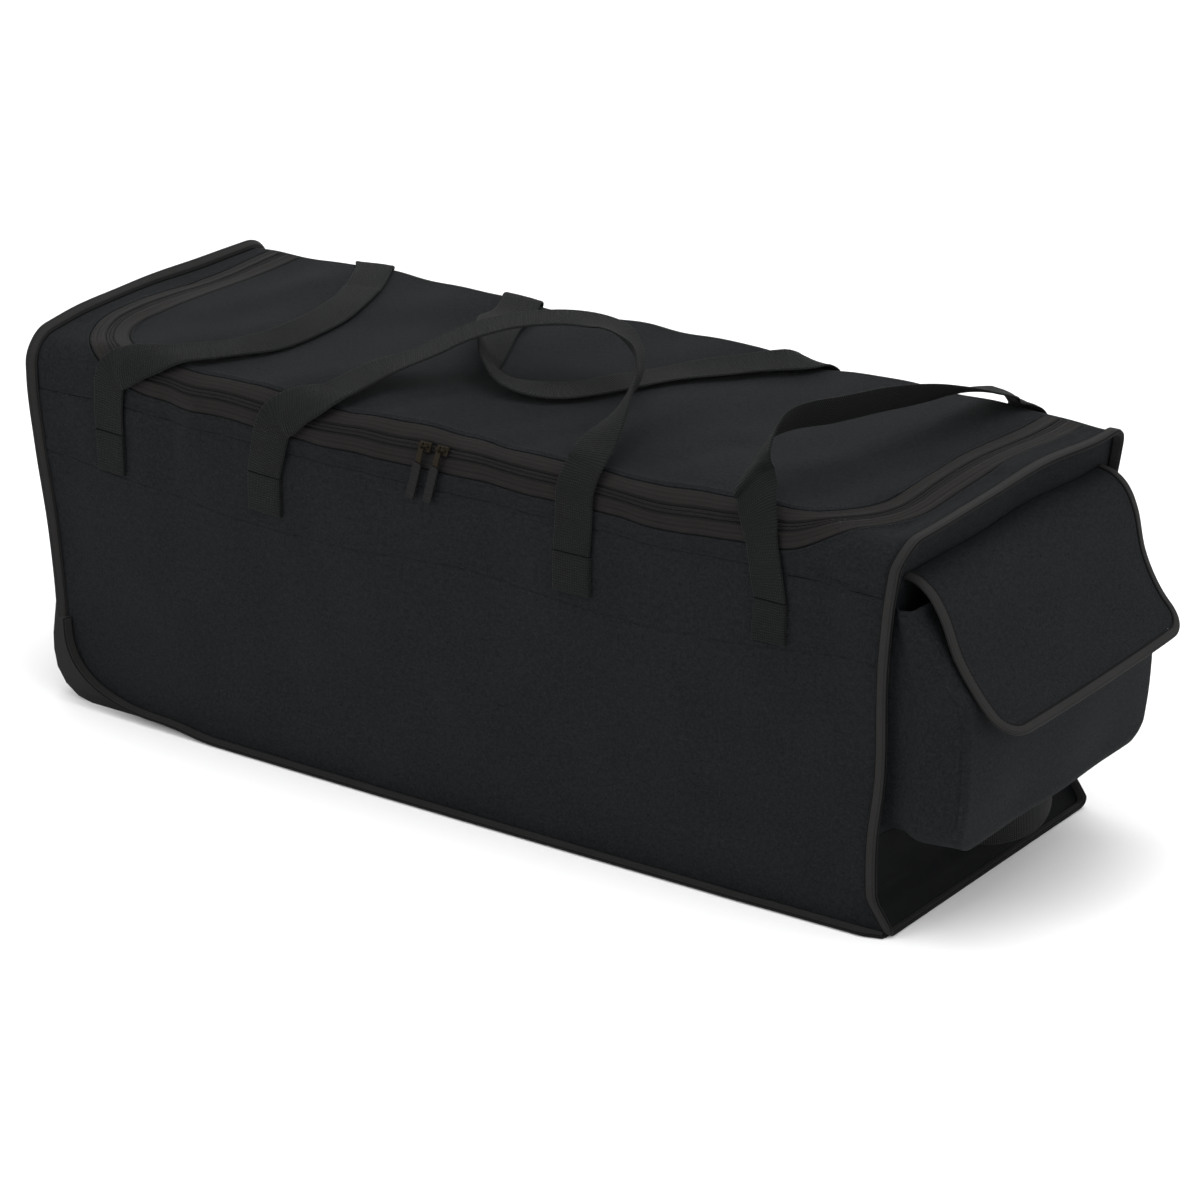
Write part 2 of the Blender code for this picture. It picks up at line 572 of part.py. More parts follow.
def fin(name, path, material, ring=False):
    """Bound seam: a flat bar, thinner at its tip, from (root, outward, sideways) stations."""
    half = BINDING_THICKNESS / 2
    section = ((BINDING_GAP, half), (BINDING_REACH, half * BINDING_TAPER))
    outer = [[soften(root + outward * reach + sideways * rise) for reach, rise in section]
             for root, outward, sideways in path]
    inner = [[soften(root + outward * reach - sideways * rise) for reach, rise in section]
             for root, outward, sideways in path]
    return sheet(name, outer, inner, material, ring)


def section_stations(heights):
    """Places round the section from the first height at the front over to the same height at the back."""
    rise = list(heights)
    arc = spread(FRONT_ARC_START, TOP_START, ZIP_ARC_STEPS)
    over = spread(ZIP_RUN_LINE + ZIP_CORNER_RADIUS, HINGE_LINE, ZIP_LEG_STEPS)
    back = spread(HINGE_LINE, BACK_FACE_START, ARC_STEPS)[1:]
    return rise + arc + over + back + [SECTION_END - h for h in rise[::-1]]


def end_binding_path(side, heights, tilt):
    """Stations of an end binding, leaning from straight along X towards the section's normal."""
    path = []
    for s in section_stations(heights):
        root = wrap(side * HALF_LENGTH, s)
        normal = wrap(side * HALF_LENGTH, s, 1.0) - root
        outward = Vector((side * math.cos(tilt), 0.0, 0.0)) + normal * math.sin(tilt)
        sideways = normal * math.cos(tilt) - Vector((side * math.sin(tilt), 0.0, 0.0))
        path.append((root, outward, sideways))
    return path


def make_end_bindings(tape):
    left = side_heights(CURL_RISE)
    left[0] += SEAM_GAP
    fin("left_end_binding", end_binding_path(-1, left, LEFT_BINDING_TILT), tape)
    rest_height = BINDING_THICKNESS / 2 + SEAM_GAP
    corner = rest_height + BASE_CORNER_RADIUS
    right = [corner] + [h for h in side_heights(0.0) if h > corner + SEAM_GAP]
    path = end_binding_path(1, right, 0.0)
    outward = Vector((1.0, 0.0, 0.0))
    centre_y = HALF_WIDTH - BASE_CORNER_RADIUS
    turns = spread(0, math.pi / 2, 3)
    for a in turns[1:]:
        normal = Vector((0.0, math.cos(a), -math.sin(a)))
        root = Vector((HALF_LENGTH, centre_y, corner)) + normal * BASE_CORNER_RADIUS
        path.append((root, outward * (1 - (1 - FLOOR_REACH_SHARE) * math.sin(a)), normal))
    for y in spread(centre_y, -centre_y, 5)[1:]:
        path.append((Vector((HALF_LENGTH, y, rest_height)), outward * FLOOR_REACH_SHARE, Vector((0.0, 0.0, -1.0))))
    for a in turns[2:0:-1]:
        normal = Vector((0.0, -math.cos(a), -math.sin(a)))
        root = Vector((HALF_LENGTH, -centre_y, corner)) + normal * BASE_CORNER_RADIUS
        path.append((root, outward * (1 - (1 - FLOOR_REACH_SHARE) * math.sin(a)), normal))
    fin("right_end_binding", path, tape, ring=True)


def make_base_bindings(tape):
    """Bound seams along the floor edges, running up round the wheel-end curl."""
    rest_height = BINDING_THICKNESS / 2 + SEAM_GAP
    for name, side in (("front_base_binding", -1), ("back_base_binding", 1)):
        outward = Vector((0.0, side, 0.0))
        path = []
        for turn in CURL_TURNS:
            x, z, normal = curl_point(turn)
            path.append((Vector((x, side * HALF_WIDTH, z)) - normal * rest_height, outward, normal))
        straight = spread(CURL_RUN - HALF_LENGTH, SKID_LIFT_END, 2)[1:]
        straight += spread(SKID_LIFT_END, HALF_LENGTH - BASE_BINDING_TAPER, RUN_STEPS)[1:]
        for x in straight:
            path.append((Vector((x, side * HALF_WIDTH, rest_height)), outward, Vector((0.0, 0.0, -1.0))))
        end = Vector((HALF_LENGTH - SEAM_GAP, side * HALF_WIDTH, rest_height))
        path.append((end, outward * FLOOR_REACH_SHARE, Vector((0.0, 0.0, -1.0))))
        fin(name, path, tape)


def smooth_through(stations, steps):
    """Catmull-Rom curve through stations of equal-length number rows."""
    rows = []
    last = len(stations) - 1
    for i in range(last):
        before, a, b, after = stations[max(i - 1, 0)], stations[i], stations[i + 1], stations[min(i + 2, last)]
        for k in range(steps):
            t = k / steps
            rows.append([0.5 * (2 * q + (r - p) * t + (2 * p - 5 * q + 4 * r - w) * t * t
                                + (3 * q - p - 3 * r + w) * t ** 3) for p, q, r, w in zip(before, a, b, after)])
    rows.append(list(stations[last]))
    return rows


def section_place(round_share):
    """Arc length round the section from its share column."""
    knots = (0.0, FRONT_ARC_START, TOP_START, HINGE_LINE, BACK_FACE_START, SECTION_END)
    part = min(int(round_share), len(knots) - 2)
    return knots[part] + (knots[part + 1] - knots[part]) * (round_share - part)


def anchor_station(x, side, twist):
    """Station of a strap where it leaves the top of its anchor."""
    height = ANCHOR_TOP + STRAP_END_GAP
    return (x, height if side < 0 else SECTION_END - height, 0.0, twist)


def make_strap(name, start, run, end, width, material):
    """Flat webbing from anchor to anchor; start and end are (x, side) of the anchors."""
    stations = [anchor_station(*start, run[0][-1])]
    stations += [(along * HALF_LENGTH, section_place(place), lift * BAG_HEIGHT, twist)
                 for along, place, lift, twist in run]
    stations.append(anchor_station(*end, run[-1][-1]))
    rest = WEBBING_CLEARANCE + WEBBING_THICKNESS / 2
    places = []
    for x, s, lift, twist in smooth_through(stations, STRAP_STEPS_PER_STATION):
        twist = math.radians(twist)
        places.append((x, s, rest + max(lift, abs(math.sin(twist)) * width / 2), twist))
    last = len(places) - 1
    outer, inner = [], []
    for i, (x, s, out, twist) in enumerate(places):
        before, after = places[max(i - 1, 0)], places[min(i + 1, last)]
        run_x = 0.0 if i in (0, last) else after[0] - before[0]
        run_s = after[1] - before[1]
        length = math.hypot(run_x, run_s)
        across_x, across_s = -run_s / length, run_x / length
        run_line = (wrap(*after[:3]) - wrap(*before[:3])).normalized()
        normal = wrap(x, s, 1.0) - wrap(x, s)
        face = (normal - run_line * normal.dot(run_line)).normalized()
        upper, lower = [], []
        for t in (-width / 2, 0.0, width / 2):
            flat = t * math.cos(twist)
            point = wrap(x + across_x * flat, s + across_s * flat, out) + face * (t * math.sin(twist))
            side = run_line.cross(face)
            top = (face * math.cos(twist) + side * math.sin(twist)) * (WEBBING_THICKNESS / 2)
            upper.append(soften(point + top))
            lower.append(soften(point - top))
        outer.append(upper)
        inner.append(lower)
    return sheet(name, outer, inner, material)


def make_anchor(name, x, side, width, material):
    """Sewn webbing end on the front or back face."""
    outward = Vector((0.0, side, 0.0))
    xs = spread(x - width / 2, x + width / 2, 2)
    zs = spread(ANCHOR_TOP - ANCHOR_HEIGHT, ANCHOR_TOP, 2)
    points = [[Vector((px, side * HALF_WIDTH, pz)) for pz in zs] for px in xs]
    normals = [[outward for _ in zs] for _ in xs]
    return box_sheet(name, points, normals, ANCHOR_THICKNESS, material, ANCHOR_THICKNESS + SEAM_GAP)


def make_carry_straps(webbing):
    shift = BACK_ANCHOR_SHIFT
    make_strap("left_cross_grip", (LEFT_GRIP_X, -1), LEFT_GRIP_RUN, (LEFT_GRIP_X + shift, 1), GRIP_WEBBING, webbing)
    make_strap("right_cross_grip", (RIGHT_GRIP_X, -1), RIGHT_GRIP_RUN, (RIGHT_GRIP_X + shift, 1), GRIP_WEBBING,
               webbing)
    make_strap("front_carry_handle", (HANDLE_LEFT_X, -1), FRONT_HANDLE_RUN, (HANDLE_RIGHT_X, -1), HANDLE_WEBBING,
               webbing)
    make_strap("back_carry_handle", (HANDLE_LEFT_X + shift, 1), BACK_HANDLE_RUN, (HANDLE_RIGHT_X + shift, 1),
               HANDLE_WEBBING, webbing)
    anchors = (
        ("left_grip", LEFT_GRIP_X, GRIP_WEBBING), ("handle_left", HANDLE_LEFT_X, HANDLE_WEBBING),
        ("handle_right", HANDLE_RIGHT_X, HANDLE_WEBBING), ("right_grip", RIGHT_GRIP_X, GRIP_WEBBING),
    )
    for name, x, width in anchors:
        make_anchor(name + "_front_anchor", x, -1, width, webbing)
        make_anchor(name + "_back_anchor", x + BACK_ANCHOR_SHIFT, 1, width, webbing)


def make_end_webbing(name, side, y_low, y_high, height, tall, lift, thickness, bow, droop, power, steps, material):
    """Horizontal webbing on an end panel, bowed out and drooping in the middle."""
    outer, inner = [], []
    for t in spread(0.0, 1.0, steps):
        swell = math.sin(math.pi * t) ** power if 0.0 < t < 1.0 else 0.0
        y = y_low + (y_high - y_low) * t
        z = height - droop * swell
        x = HALF_LENGTH + lift + bow * swell
        rows = [(x + thickness, z + tall * share) for share in (-0.5, 0.0, 0.5)]
        outer.append([soften((side * px, y, pz)) for px, pz in rows])
        inner.append([soften((side * (px - thickness), y, pz)) for px, pz in rows])
    return sheet(name, outer, inner, material)


def make_end_handles(webbing):
    """Grab handle on the wheel end and haul handle under the pocket, each with two sewn ends."""
    handles = (
        ("left_end_handle", -1, HALF_WIDTH - LEFT_HANDLE_INSET - ANCHOR_HEIGHT - SEAM_GAP, 0.0, ANCHOR_HEIGHT,
         LEFT_HANDLE_HEIGHT, LEFT_HANDLE_WEBBING, LEFT_HANDLE_BOW, LEFT_HANDLE_DROOP, LEFT_HANDLE_SWELL),
        ("haul_handle", 1, HAUL_SPAN / 2, HAUL_SHIFT, HAUL_WEBBING, HAUL_HEIGHT, HAUL_WEBBING, HAUL_BOW, HAUL_DROOP,
         HAUL_SWELL),
    )
    for name, side, free, shift, ends, height, tall, bow, droop, power in handles:
        make_end_webbing(name, side, shift - free, shift + free, height, tall, END_WEBBING_GAP, WEBBING_THICKNESS,
                         bow, droop, power, END_HANDLE_STEPS, webbing)
        for label, sign in (("front", -1), ("back", 1)):
            low = shift + sign * (free + SEAM_GAP)
            high = shift + sign * (free + SEAM_GAP + ends)
            make_end_webbing(name + "_" + label + "_anchor", side, min(low, high), max(low, high), height, tall,
                             END_WEBBING_GAP, ANCHOR_THICKNESS, 0.0, 0.0, power, 2, webbing)


def pocket_depth(z):
    """How far the pocket stands out at a height; its top leans back under the flap."""
    return POCKET_DEPTH * read_table(POCKET_DEPTH_BY_HEIGHT, (z - POCKET_BOTTOM) / (POCKET_TOP - POCKET_BOTTOM))


def make_pocket(cloth):
    """Pocket on the right end: a bellied front and a folded gusset round its sides and bottom."""
    half = POCKET_WIDTH / 2
    turn = spread(0, math.pi / 2, 3)
    ys = [-half + POCKET_CORNER * (1 - math.cos(a)) for a in turn]
    ys += spread(-half + POCKET_CORNER, half - POCKET_CORNER, 5)[1:-1]
    ys += [half - POCKET_CORNER * (1 - math.cos(a)) for a in turn[::-1]]
    rise = spread(0.0, 1.0, POCKET_ROWS)
    points = []
    for y in ys:
        over = max(0.0, abs(y) - (half - POCKET_CORNER))
        low = POCKET_BOTTOM + POCKET_CORNER - math.sqrt(max(POCKET_CORNER ** 2 - over ** 2, 0.0))
        column = []
        for t in rise:
            z = low + (POCKET_TOP - low) * t
            belly = POCKET_BELLY * (1 - (y / half) ** 2) * math.sin(math.pi * t) ** 2
            column.append(Vector((HALF_LENGTH + pocket_depth(z) + belly, y + POCKET_SHIFT, z)))
        points.append(column)
    normals = [[Vector((1.0, 0.0, 0.0)) for _ in rise] for _ in ys]
    box_sheet("pocket_front", points, normals, POCKET_FABRIC, cloth)
    outline = [(-half, z, -1.0, 0.0) for z in spread(POCKET_TOP, POCKET_BOTTOM + POCKET_CORNER, POCKET_ROWS)]
    outline += [(-half + POCKET_CORNER * (1 - math.cos(a)), POCKET_BOTTOM + POCKET_CORNER * (1 - math.sin(a)),
                 -math.cos(a), -math.sin(a)) for a in turn[1:]]
    outline += [(y, POCKET_BOTTOM, 0.0, -1.0) for y in spread(-half + POCKET_CORNER, 0.0, 2)[1:]]
    outline += [(-y, z, -ny, nz) for y, z, ny, nz in outline[-2::-1]]
    outer, inner = [], []
    for y, z, ny, nz in outline:
        depth = pocket_depth(z) - POCKET_FABRIC - POCKET_SEAM
        rows = []
        for share, fold in GUSSET_FOLDS:
            out = fold * GUSSET_FOLD * abs(ny)
            x = HALF_LENGTH + END_WEBBING_GAP + (depth - END_WEBBING_GAP) * share
            rows.append((Vector((x, y + POCKET_SHIFT + out * ny, z + out * nz)), Vector((0.0, ny, nz))))
        outer.append([soften(p) for p, _ in rows])
        inner.append([soften(p - n * POCKET_FABRIC) for p, n in rows])
    sheet("pocket_gusset", outer, inner, cloth)


def flap_curve():
    """Flap profile as evenly spaced (x, z, normal) from the crease to the lower edge."""
    stations = [(HALF_LENGTH + FLAP_GAP + FLAP_REACH * reach, FLAP_CREASE_HEIGHT - FLAP_DROP * drop)
                for reach, drop in FLAP_PROFILE]
    fine = smooth_through(stations, 8)
    lengths = [0.0]
    for a, b in zip(fine, fine[1:]):
        lengths.append(lengths[-1] + math.hypot(b[0] - a[0], b[1] - a[1]))
    return fine, lengths


def flap_place(curve, y, t, out):
    """Softened point on the flap at length t from the crease, moved outward by out."""
    fine, lengths = curve
    t = min(max(t, 0.0), lengths[-1])
    i = 0
    while i < len(lengths) - 2 and lengths[i + 1] < t:
        i += 1
    share = (t - lengths[i]) / (lengths[i + 1] - lengths[i])
    (ax, az), (bx, bz) = fine[i], fine[i + 1]
    run = Vector((bx - ax, bz - az)).normalized()
    x, z = ax + (bx - ax) * share - run.y * out, az + (bz - az) * share + run.x * out
    return soften((x, y + FLAP_SHIFT, z + FLAP_TILT * (y + FLAP_WIDTH / 2)))


def make_flap(cloth, tape):
    """Stiff pocket flap with a bound edge on three sides."""
    curve = flap_curve()
    length = curve[1][-1]
    half = FLAP_WIDTH / 2
    inner_half = half - FLAP_BINDING_WIDTH
    inner_corner = FLAP_CORNER - FLAP_BINDING_WIDTH
    turn = spread(0, math.pi / 2, 3)
    ys = [-inner_half + inner_corner * (1 - math.cos(a)) for a in turn]
    ys += spread(-inner_half + inner_corner, inner_half - inner_corner, 5)[1:-1]
    ys += [inner_half - inner_corner * (1 - math.cos(a)) for a in turn[::-1]]
    grid = []
    for y in ys:
        over = max(0.0, abs(y) - (inner_half - inner_corner))
        reach = length - FLAP_BINDING_WIDTH - inner_corner + math.sqrt(max(inner_corner ** 2 - over ** 2, 0.0))
        grid.append([(y, reach * t) for t in spread(0.0, 1.0, 8)])
    outer = [[flap_place(curve, y, t, FLAP_FABRIC) for y, t in row] for row in grid]
    low = [[flap_place(curve, y, t, 0.0) for y, t in row] for row in grid]
    sheet("pocket_flap", outer, low, cloth)
    near = inner_half + SEAM_GAP
    outline = [(near, t, 1.0, 0.0) for t in spread(0.0, length - FLAP_CORNER, 8)]
    for a in turn[1:]:
        outline.append((half - FLAP_CORNER + (inner_corner + SEAM_GAP) * math.cos(a),
                        length - FLAP_CORNER + (inner_corner + SEAM_GAP) * math.sin(a), math.cos(a), math.sin(a)))
    outline += [(y, length - FLAP_BINDING_WIDTH + SEAM_GAP, 0.0, 1.0) for y in spread(half - FLAP_CORNER, 0.0, 3)[1:]]
    outline += [(-y, t, -ny, nt) for y, t, ny, nt in outline[-2::-1]]
    width = FLAP_BINDING_WIDTH - SEAM_GAP
    rise = (FLAP_BINDING_THICKNESS - FLAP_FABRIC) / 2
    outer, low = [], []
    for y, t, ny, nt in outline:
        ends = [(y + ny * w, t + nt * w) for w in (0.0, width)]
        outer.append([flap_place(curve, a, b, FLAP_FABRIC + rise) for a, b in ends])
        low.append([flap_place(curve, a, b, -rise / 2) for a, b in ends])
    sheet("flap_binding", outer, low, tape)


def turned(name, profile, material, place):
    """Piece turned round an axis along Y from (radius, y) stations, outer side first."""
    mesh = bpy.data.meshes.new(name)
    bm = bmesh.new()
    verts = [bm.verts.new((radius, 0.0, along)) for radius, along in profile]
    for a, b in zip(verts, verts[1:] + verts[:1]):
        bm.edges.new((a, b))
    bm.to_mesh(mesh)
    bm.free()
    thing = add_object(name, mesh, material, smooth=False)
    screw = thing.modifiers.new("Turn", "SCREW")
    screw.axis = "Z"
    screw.steps = TURNED_STEPS
    screw.render_steps = TURNED_STEPS
    screw.use_merge_vertices = True
    screw.merge_threshold = 0.00001
    screw.use_smooth_shade = True
    thing.rotation_euler = (math.pi / 2, 0.0, 0.0)
    thing.location = place
    return thing


def cutter(name, bm, matrix):
    """Hidden shape for a Boolean."""
    mesh = bpy.data.meshes.new(name)
    bm.to_mesh(mesh)
    bm.free()
    thing = bpy.data.objects.new(name, mesh)
    bpy.data.collections["cutters"].objects.link(thing)
    thing.matrix_world = matrix
    thing.hide_render = True
    thing.display_type = "WIRE"
    return thing


def drum(name, radius, width, place, segments=TURNED_STEPS):
    """Hidden cylinder along Y."""
    bm = bmesh.new()
    bmesh.ops.create_cone(bm, cap_ends=True, segments=segments, radius1=radius, radius2=radius, depth=width)
    return cutter(name, bm, Matrix.Translation(place) @ Matrix.Rotation(math.pi / 2, 4, "X"))


def boolean(thing, tool, operation):
    modifier = thing.modifiers.new(operation.title(), "BOOLEAN")
    modifier.operation = operation
    modifier.solver = "EXACT"
    modifier.object = tool


def housing_outline():
    """Wheel housing in (x, z): the inner line hugs the curl, the outer line is the moulded skid."""
    inner = [soften((-HALF_LENGTH - HOUSING_GAP, -HALF_WIDTH, HOUSING_RISE))]
    for turn in CURL_TURNS:
        x, z, normal = curl_point(turn)
        place = soften(Vector((x, -HALF_WIDTH, z)) + normal * HOUSING_GAP)
        if place.z > HOUSING_TOE:
            inner.append(place)
    left = inner[1].x - HOUSING_PROUD
    heel = left + HOUSING_CORNER
    outer = [(inner[0].x - HOUSING_LIP, HOUSING_RISE), (left, HOUSING_SHOULDER)]
    for a in spread(0, math.pi / 2, CORNER_STEPS):
        outer.append((heel - HOUSING_CORNER * math.cos(a), HOUSING_CORNER * (1 - math.sin(a))))
    return [(p.x, p.z) for p in inner], outer


def make_housing(name, side, plastic, wheel_place):
    """Moulded corner skid with a wheel well that reaches into the bag."""
    inner, outer = housing_outline()
    outline = outer + [(inner[-1][0], 0.0)] + inner[::-1]
    mesh = bpy.data.meshes.new(name)
    bm = bmesh.new()
    near = side * (HALF_WIDTH - HOUSING_INSET)
    far = near - side * HOUSING_WIDTH
    face = bm.faces.new([bm.verts.new((x, near, z)) for x, z in outline])
    pulled = bmesh.ops.extrude_face_region(bm, geom=[face])
    for item in pulled["geom"]:
        if isinstance(item, bmesh.types.BMVert):
            item.co.y = far
    bmesh.ops.recalc_face_normals(bm, faces=bm.faces)
    bmesh.ops.triangulate(bm, faces=[f for f in bm.faces if len(f.verts) > 4])
    bm.to_mesh(mesh)
    bm.free()
    housing = add_object(name, mesh, plastic)
    well_width = WHEEL_WIDTH + 2 * WHEEL_CLEARANCE + 2 * HOUSING_WALL
    well_radius = WHEEL_RADIUS + WHEEL_CLEARANCE + HOUSING_WALL
    well = drum(name + "_well", well_radius, well_width, wheel_place)
    keep = bmesh.new()
    bmesh.ops.create_cube(keep, size=1.0)
    left, floor = outer[1][0] + 0.001, 0.001
    size = 4 * WHEEL_RADIUS
    place = Vector((left + size / 2, wheel_place.y, floor + size / 2))
    keep_box = cutter(name + "_well_keep", keep, Matrix.Translation(place) @ Matrix.Diagonal((size, size, size, 1.0)))
    boolean(well, keep_box, "INTERSECT")
    boolean(housing, well, "UNION")
    boolean(housing, drum(name + "_wheel_room", WHEEL_RADIUS + WHEEL_CLEARANCE,
                          WHEEL_WIDTH + 2 * WHEEL_CLEARANCE, wheel_place), "DIFFERENCE")
    boolean(housing, drum(name + "_axle_room", AXLE_RADIUS + AXLE_CLEARANCE, well_width + 0.01, wheel_place, 16),
            "DIFFERENCE")
    return drum(name + "_base_room", well_radius + HOUSING_GAP, well_width + 2 * HOUSING_GAP, wheel_place)


def make_wheel(label, place, rubber, plastic, steel):
    """Tyre and hub that turn together, on a fixed axle."""
    half = WHEEL_WIDTH / 2
    rim = WHEEL_RADIUS - TYRE_DEPTH
    crown = WHEEL_RADIUS - TYRE_SHOULDER
    tread = half - TYRE_SHOULDER
    tyre = [(crown, half), (WHEEL_RADIUS, tread), (WHEEL_RADIUS, -tread), (crown, -half), (rim, -half), (rim, half)]
    turned(label + "_tyre", tyre, rubber, place)
    edge = rim - HUB_GAP
    bore = AXLE_RADIUS + AXLE_CLEARANCE
    flange = half - HUB_RECESS
    hub = [(edge, flange), (edge, -flange), (edge - HUB_RIM, -flange), (edge - HUB_RIM, -HUB_WEB), (HUB_BOSS, -HUB_WEB),
           (HUB_BOSS, -half), (bore, -half), (bore, half), (HUB_BOSS, half), (HUB_BOSS, HUB_WEB),
           (edge - HUB_RIM, HUB_WEB), (edge - HUB_RIM, flange)]
    turned(label + "_hub", hub, plastic, place)
    mesh = bpy.data.meshes.new(label + "_axle")
    bm = bmesh.new()
    length = WHEEL_WIDTH + 2 * WHEEL_CLEARANCE + 2 * HOUSING_WALL
    bmesh.ops.create_cone(bm, cap_ends=True, segments=16, radius1=AXLE_RADIUS, radius2=AXLE_RADIUS, depth=length)
    bm.to_mesh(mesh)
    bm.free()
    axle = add_object(label + "_axle", mesh, steel)
    axle.rotation_euler = (math.pi / 2, 0.0, 0.0)
    axle.location = place


def wheel_place(side):
    """Centre of a wheel: it stands on the floor and pokes out past the skid."""
    inner, outer = housing_outline()
    x = outer[1][0] - WHEEL_POKE + WHEEL_RADIUS
    return Vector((x, side * (HALF_WIDTH - HOUSING_INSET - HOUSING_WIDTH / 2), WHEEL_RADIUS))


def make_wheels(base, rubber, plastic, steel):
    for label, side in (("front", -1), ("back", 1)):
        place = wheel_place(side)
        room = make_housing("wheel_housing_" + label, side, plastic, place)
        boolean(base, room, "DIFFERENCE")
        make_wheel(label + "_wheel", place, rubber, plastic, steel)


def tube_mesh(name, points, radius, closed=False):
    """Mesh of a round wire along points."""
    curve = bpy.data.curves.new(name, "CURVE")
    curve.dimensions = "3D"
    curve.bevel_depth = radius
    curve.bevel_resolution = 1
    curve.resolution_u = 1
    curve.render_resolution_u = 0
    curve.use_fill_caps = not closed
    spline = curve.splines.new("POLY")
    spline.points.add(len(points) - 1)
    for slot, point in zip(spline.points, points):
        slot.co = (*point, 1.0)
    spline.use_cyclic_u = closed
    holder = bpy.data.objects.new(name, curve)
    bpy.context.scene.collection.objects.link(holder)
    bpy.context.view_layer.update()
    mesh = bpy.data.meshes.new_from_object(holder.evaluated_get(bpy.context.evaluated_depsgraph_get()))
    bpy.data.objects.remove(holder)
    bpy.data.curves.remove(curve)
    bm = bmesh.new()
    bm.from_mesh(mesh)
    bmesh.ops.remove_doubles(bm, verts=bm.verts, dist=0.00001)
    bmesh.ops.recalc_face_normals(bm, faces=bm.faces)
    bm.to_mesh(mesh)
    bm.free()
    return mesh


def hidden_mesh(name, mesh, matrix):
    """Hidden copy of a mesh for a Boolean."""
    bm = bmesh.new()
    bm.from_mesh(mesh)
    bpy.data.meshes.remove(mesh)
    return cutter(name, bm, matrix)


def block(name, size, bevel, material):
    """Box with rounded edges, centred on its origin."""
    mesh = bpy.data.meshes.new(name)
    bm = bmesh.new()
    bmesh.ops.create_cube(bm, size=1.0)
    for vert in bm.verts:
        vert.co = Vector((vert.co.x * size[0], vert.co.y * size[1], vert.co.z * size[2]))
    bm.to_mesh(mesh)
    bm.free()
    thing = add_object(name, mesh, material)
    rounding = thing.modifiers.new("Rounding", "BEVEL")
    rounding.width = bevel
    rounding.segments = 1
    return thing


def slider_frame(x):
    """Place on the zip coil at x, with the section's outward direction."""
    base = soften(wrap(x, ZIP_RUN_LINE, ZIP_COIL_RISE + SEAM_GAP))
    outward = (soften(wrap(x, ZIP_RUN_LINE, 0.01)) - soften(wrap(x, ZIP_RUN_LINE, 0.0))).normalized()
    return base, outward


def hang_direction(pivot, reach):
    """Direction in which a pull hangs from its pivot to rest against the front panel."""
    low = soften((pivot.x, -HALF_WIDTH, pivot.z - reach))
    rest = Vector((pivot.x, low.y - TAB_THICKNESS / 2 - WEBBING_CLEARANCE, pivot.z - reach))
    return (rest - pivot).normalized()


def make_slider(label, x, metal, rubber):
    """Zip slider with a bridge along the zip, and a pull hung from the bridge."""
    base, outward = slider_frame(x)
    tilt = math.atan2(-outward.y, outward.z)
    middle = base + outward * (SLIDER_HEIGHT / 2)
    body = block("zip_slider_" + label, (SLIDER_LENGTH, SLIDER_WIDTH, SLIDER_HEIGHT), 0.0009, metal)
    body.rotation_euler = (tilt, 0.0, 0.0)
    body.location = middle
    half = SLIDER_LENGTH / 2 - 0.002
    rise = SLIDER_HEIGHT / 2 + BRIDGE_RISE
    foot = SLIDER_HEIGHT / 2 - 0.001
    arch = [(-half, 0.0, foot), (-half, 0.0, rise - 0.0012), (-half + 0.0012, 0.0, rise),
            (half - 0.0012, 0.0, rise), (half, 0.0, rise - 0.0012), (half, 0.0, foot)]
    frame = Matrix.Translation(middle) @ Matrix.Rotation(tilt, 4, "X")
    bridge = hidden_mesh("bridge_" + label, tube_mesh("bridge_wire_" + label, arch, BRIDGE_WIRE), frame)
    boolean(body, bridge, "UNION")
    pivot = middle + outward * rise
    reach = (PULL_EYE_RADIUS + LINK_LENGTH + TAB_LENGTH) * math.cos(PULL_LEAN)
    down = hang_direction(pivot, reach)
    swing = math.atan2(down.y, -down.z)
    lean = Matrix.Rotation(PULL_LEAN, 4, "Y")
    turn = Matrix.Translation(pivot) @ Matrix.Rotation(swing, 4, "X") @ lean
    link = block("zip_pull_" + label, (LINK_WIDTH, LINK_THICKNESS, LINK_LENGTH), 0.0004, metal)
    link.data.transform(lean @ Matrix.Translation((0.0, 0.0, -PULL_EYE_RADIUS - LINK_LENGTH / 2)))
    link.rotation_euler = (swing, 0.0, 0.0)
    link.location = pivot
    ring = [(0.0, PULL_EYE_RADIUS * math.cos(a), PULL_EYE_RADIUS * math.sin(a)) for a in spread(0, 2 * math.pi, 12)[:-1]]
    eye = hidden_mesh("eye_" + label, tube_mesh("eye_wire_" + label, ring, PULL_WIRE, closed=True), turn)
    boolean(link, eye, "UNION")
    make_tab(label, pivot, swing, lean, rubber)


def make_tab(label, pivot, swing, lean, rubber):
    """Ribbed tab under the pull's metal link."""
    top = -PULL_EYE_RADIUS - LINK_LENGTH - TAB_GAP
    half = TAB_THICKNESS / 2
    outer, inner = [], []
    for i, t in enumerate(spread(0.0, 1.0, 2 * TAB_RIBS)):
        depth = half - (TAB_GROOVE if i % 2 else 0.0)
        width = TAB_WIDTH / 2 * (TAB_END_SHARE if i in (0, 2 * TAB_RIBS) else 1.0)
        z = top - TAB_LENGTH * t
        outer.append([(-width, -depth, z), (width, -depth, z)])
        inner.append([(-width, depth, z), (width, depth, z)])
    tab = sheet("zip_tab_" + label, outer, inner, rubber)
    tab.data.transform(lean)
    tab.rotation_euler = (swing, 0.0, 0.0)
    tab.location = pivot


BAG_NAME = "cricket_kit_bag"


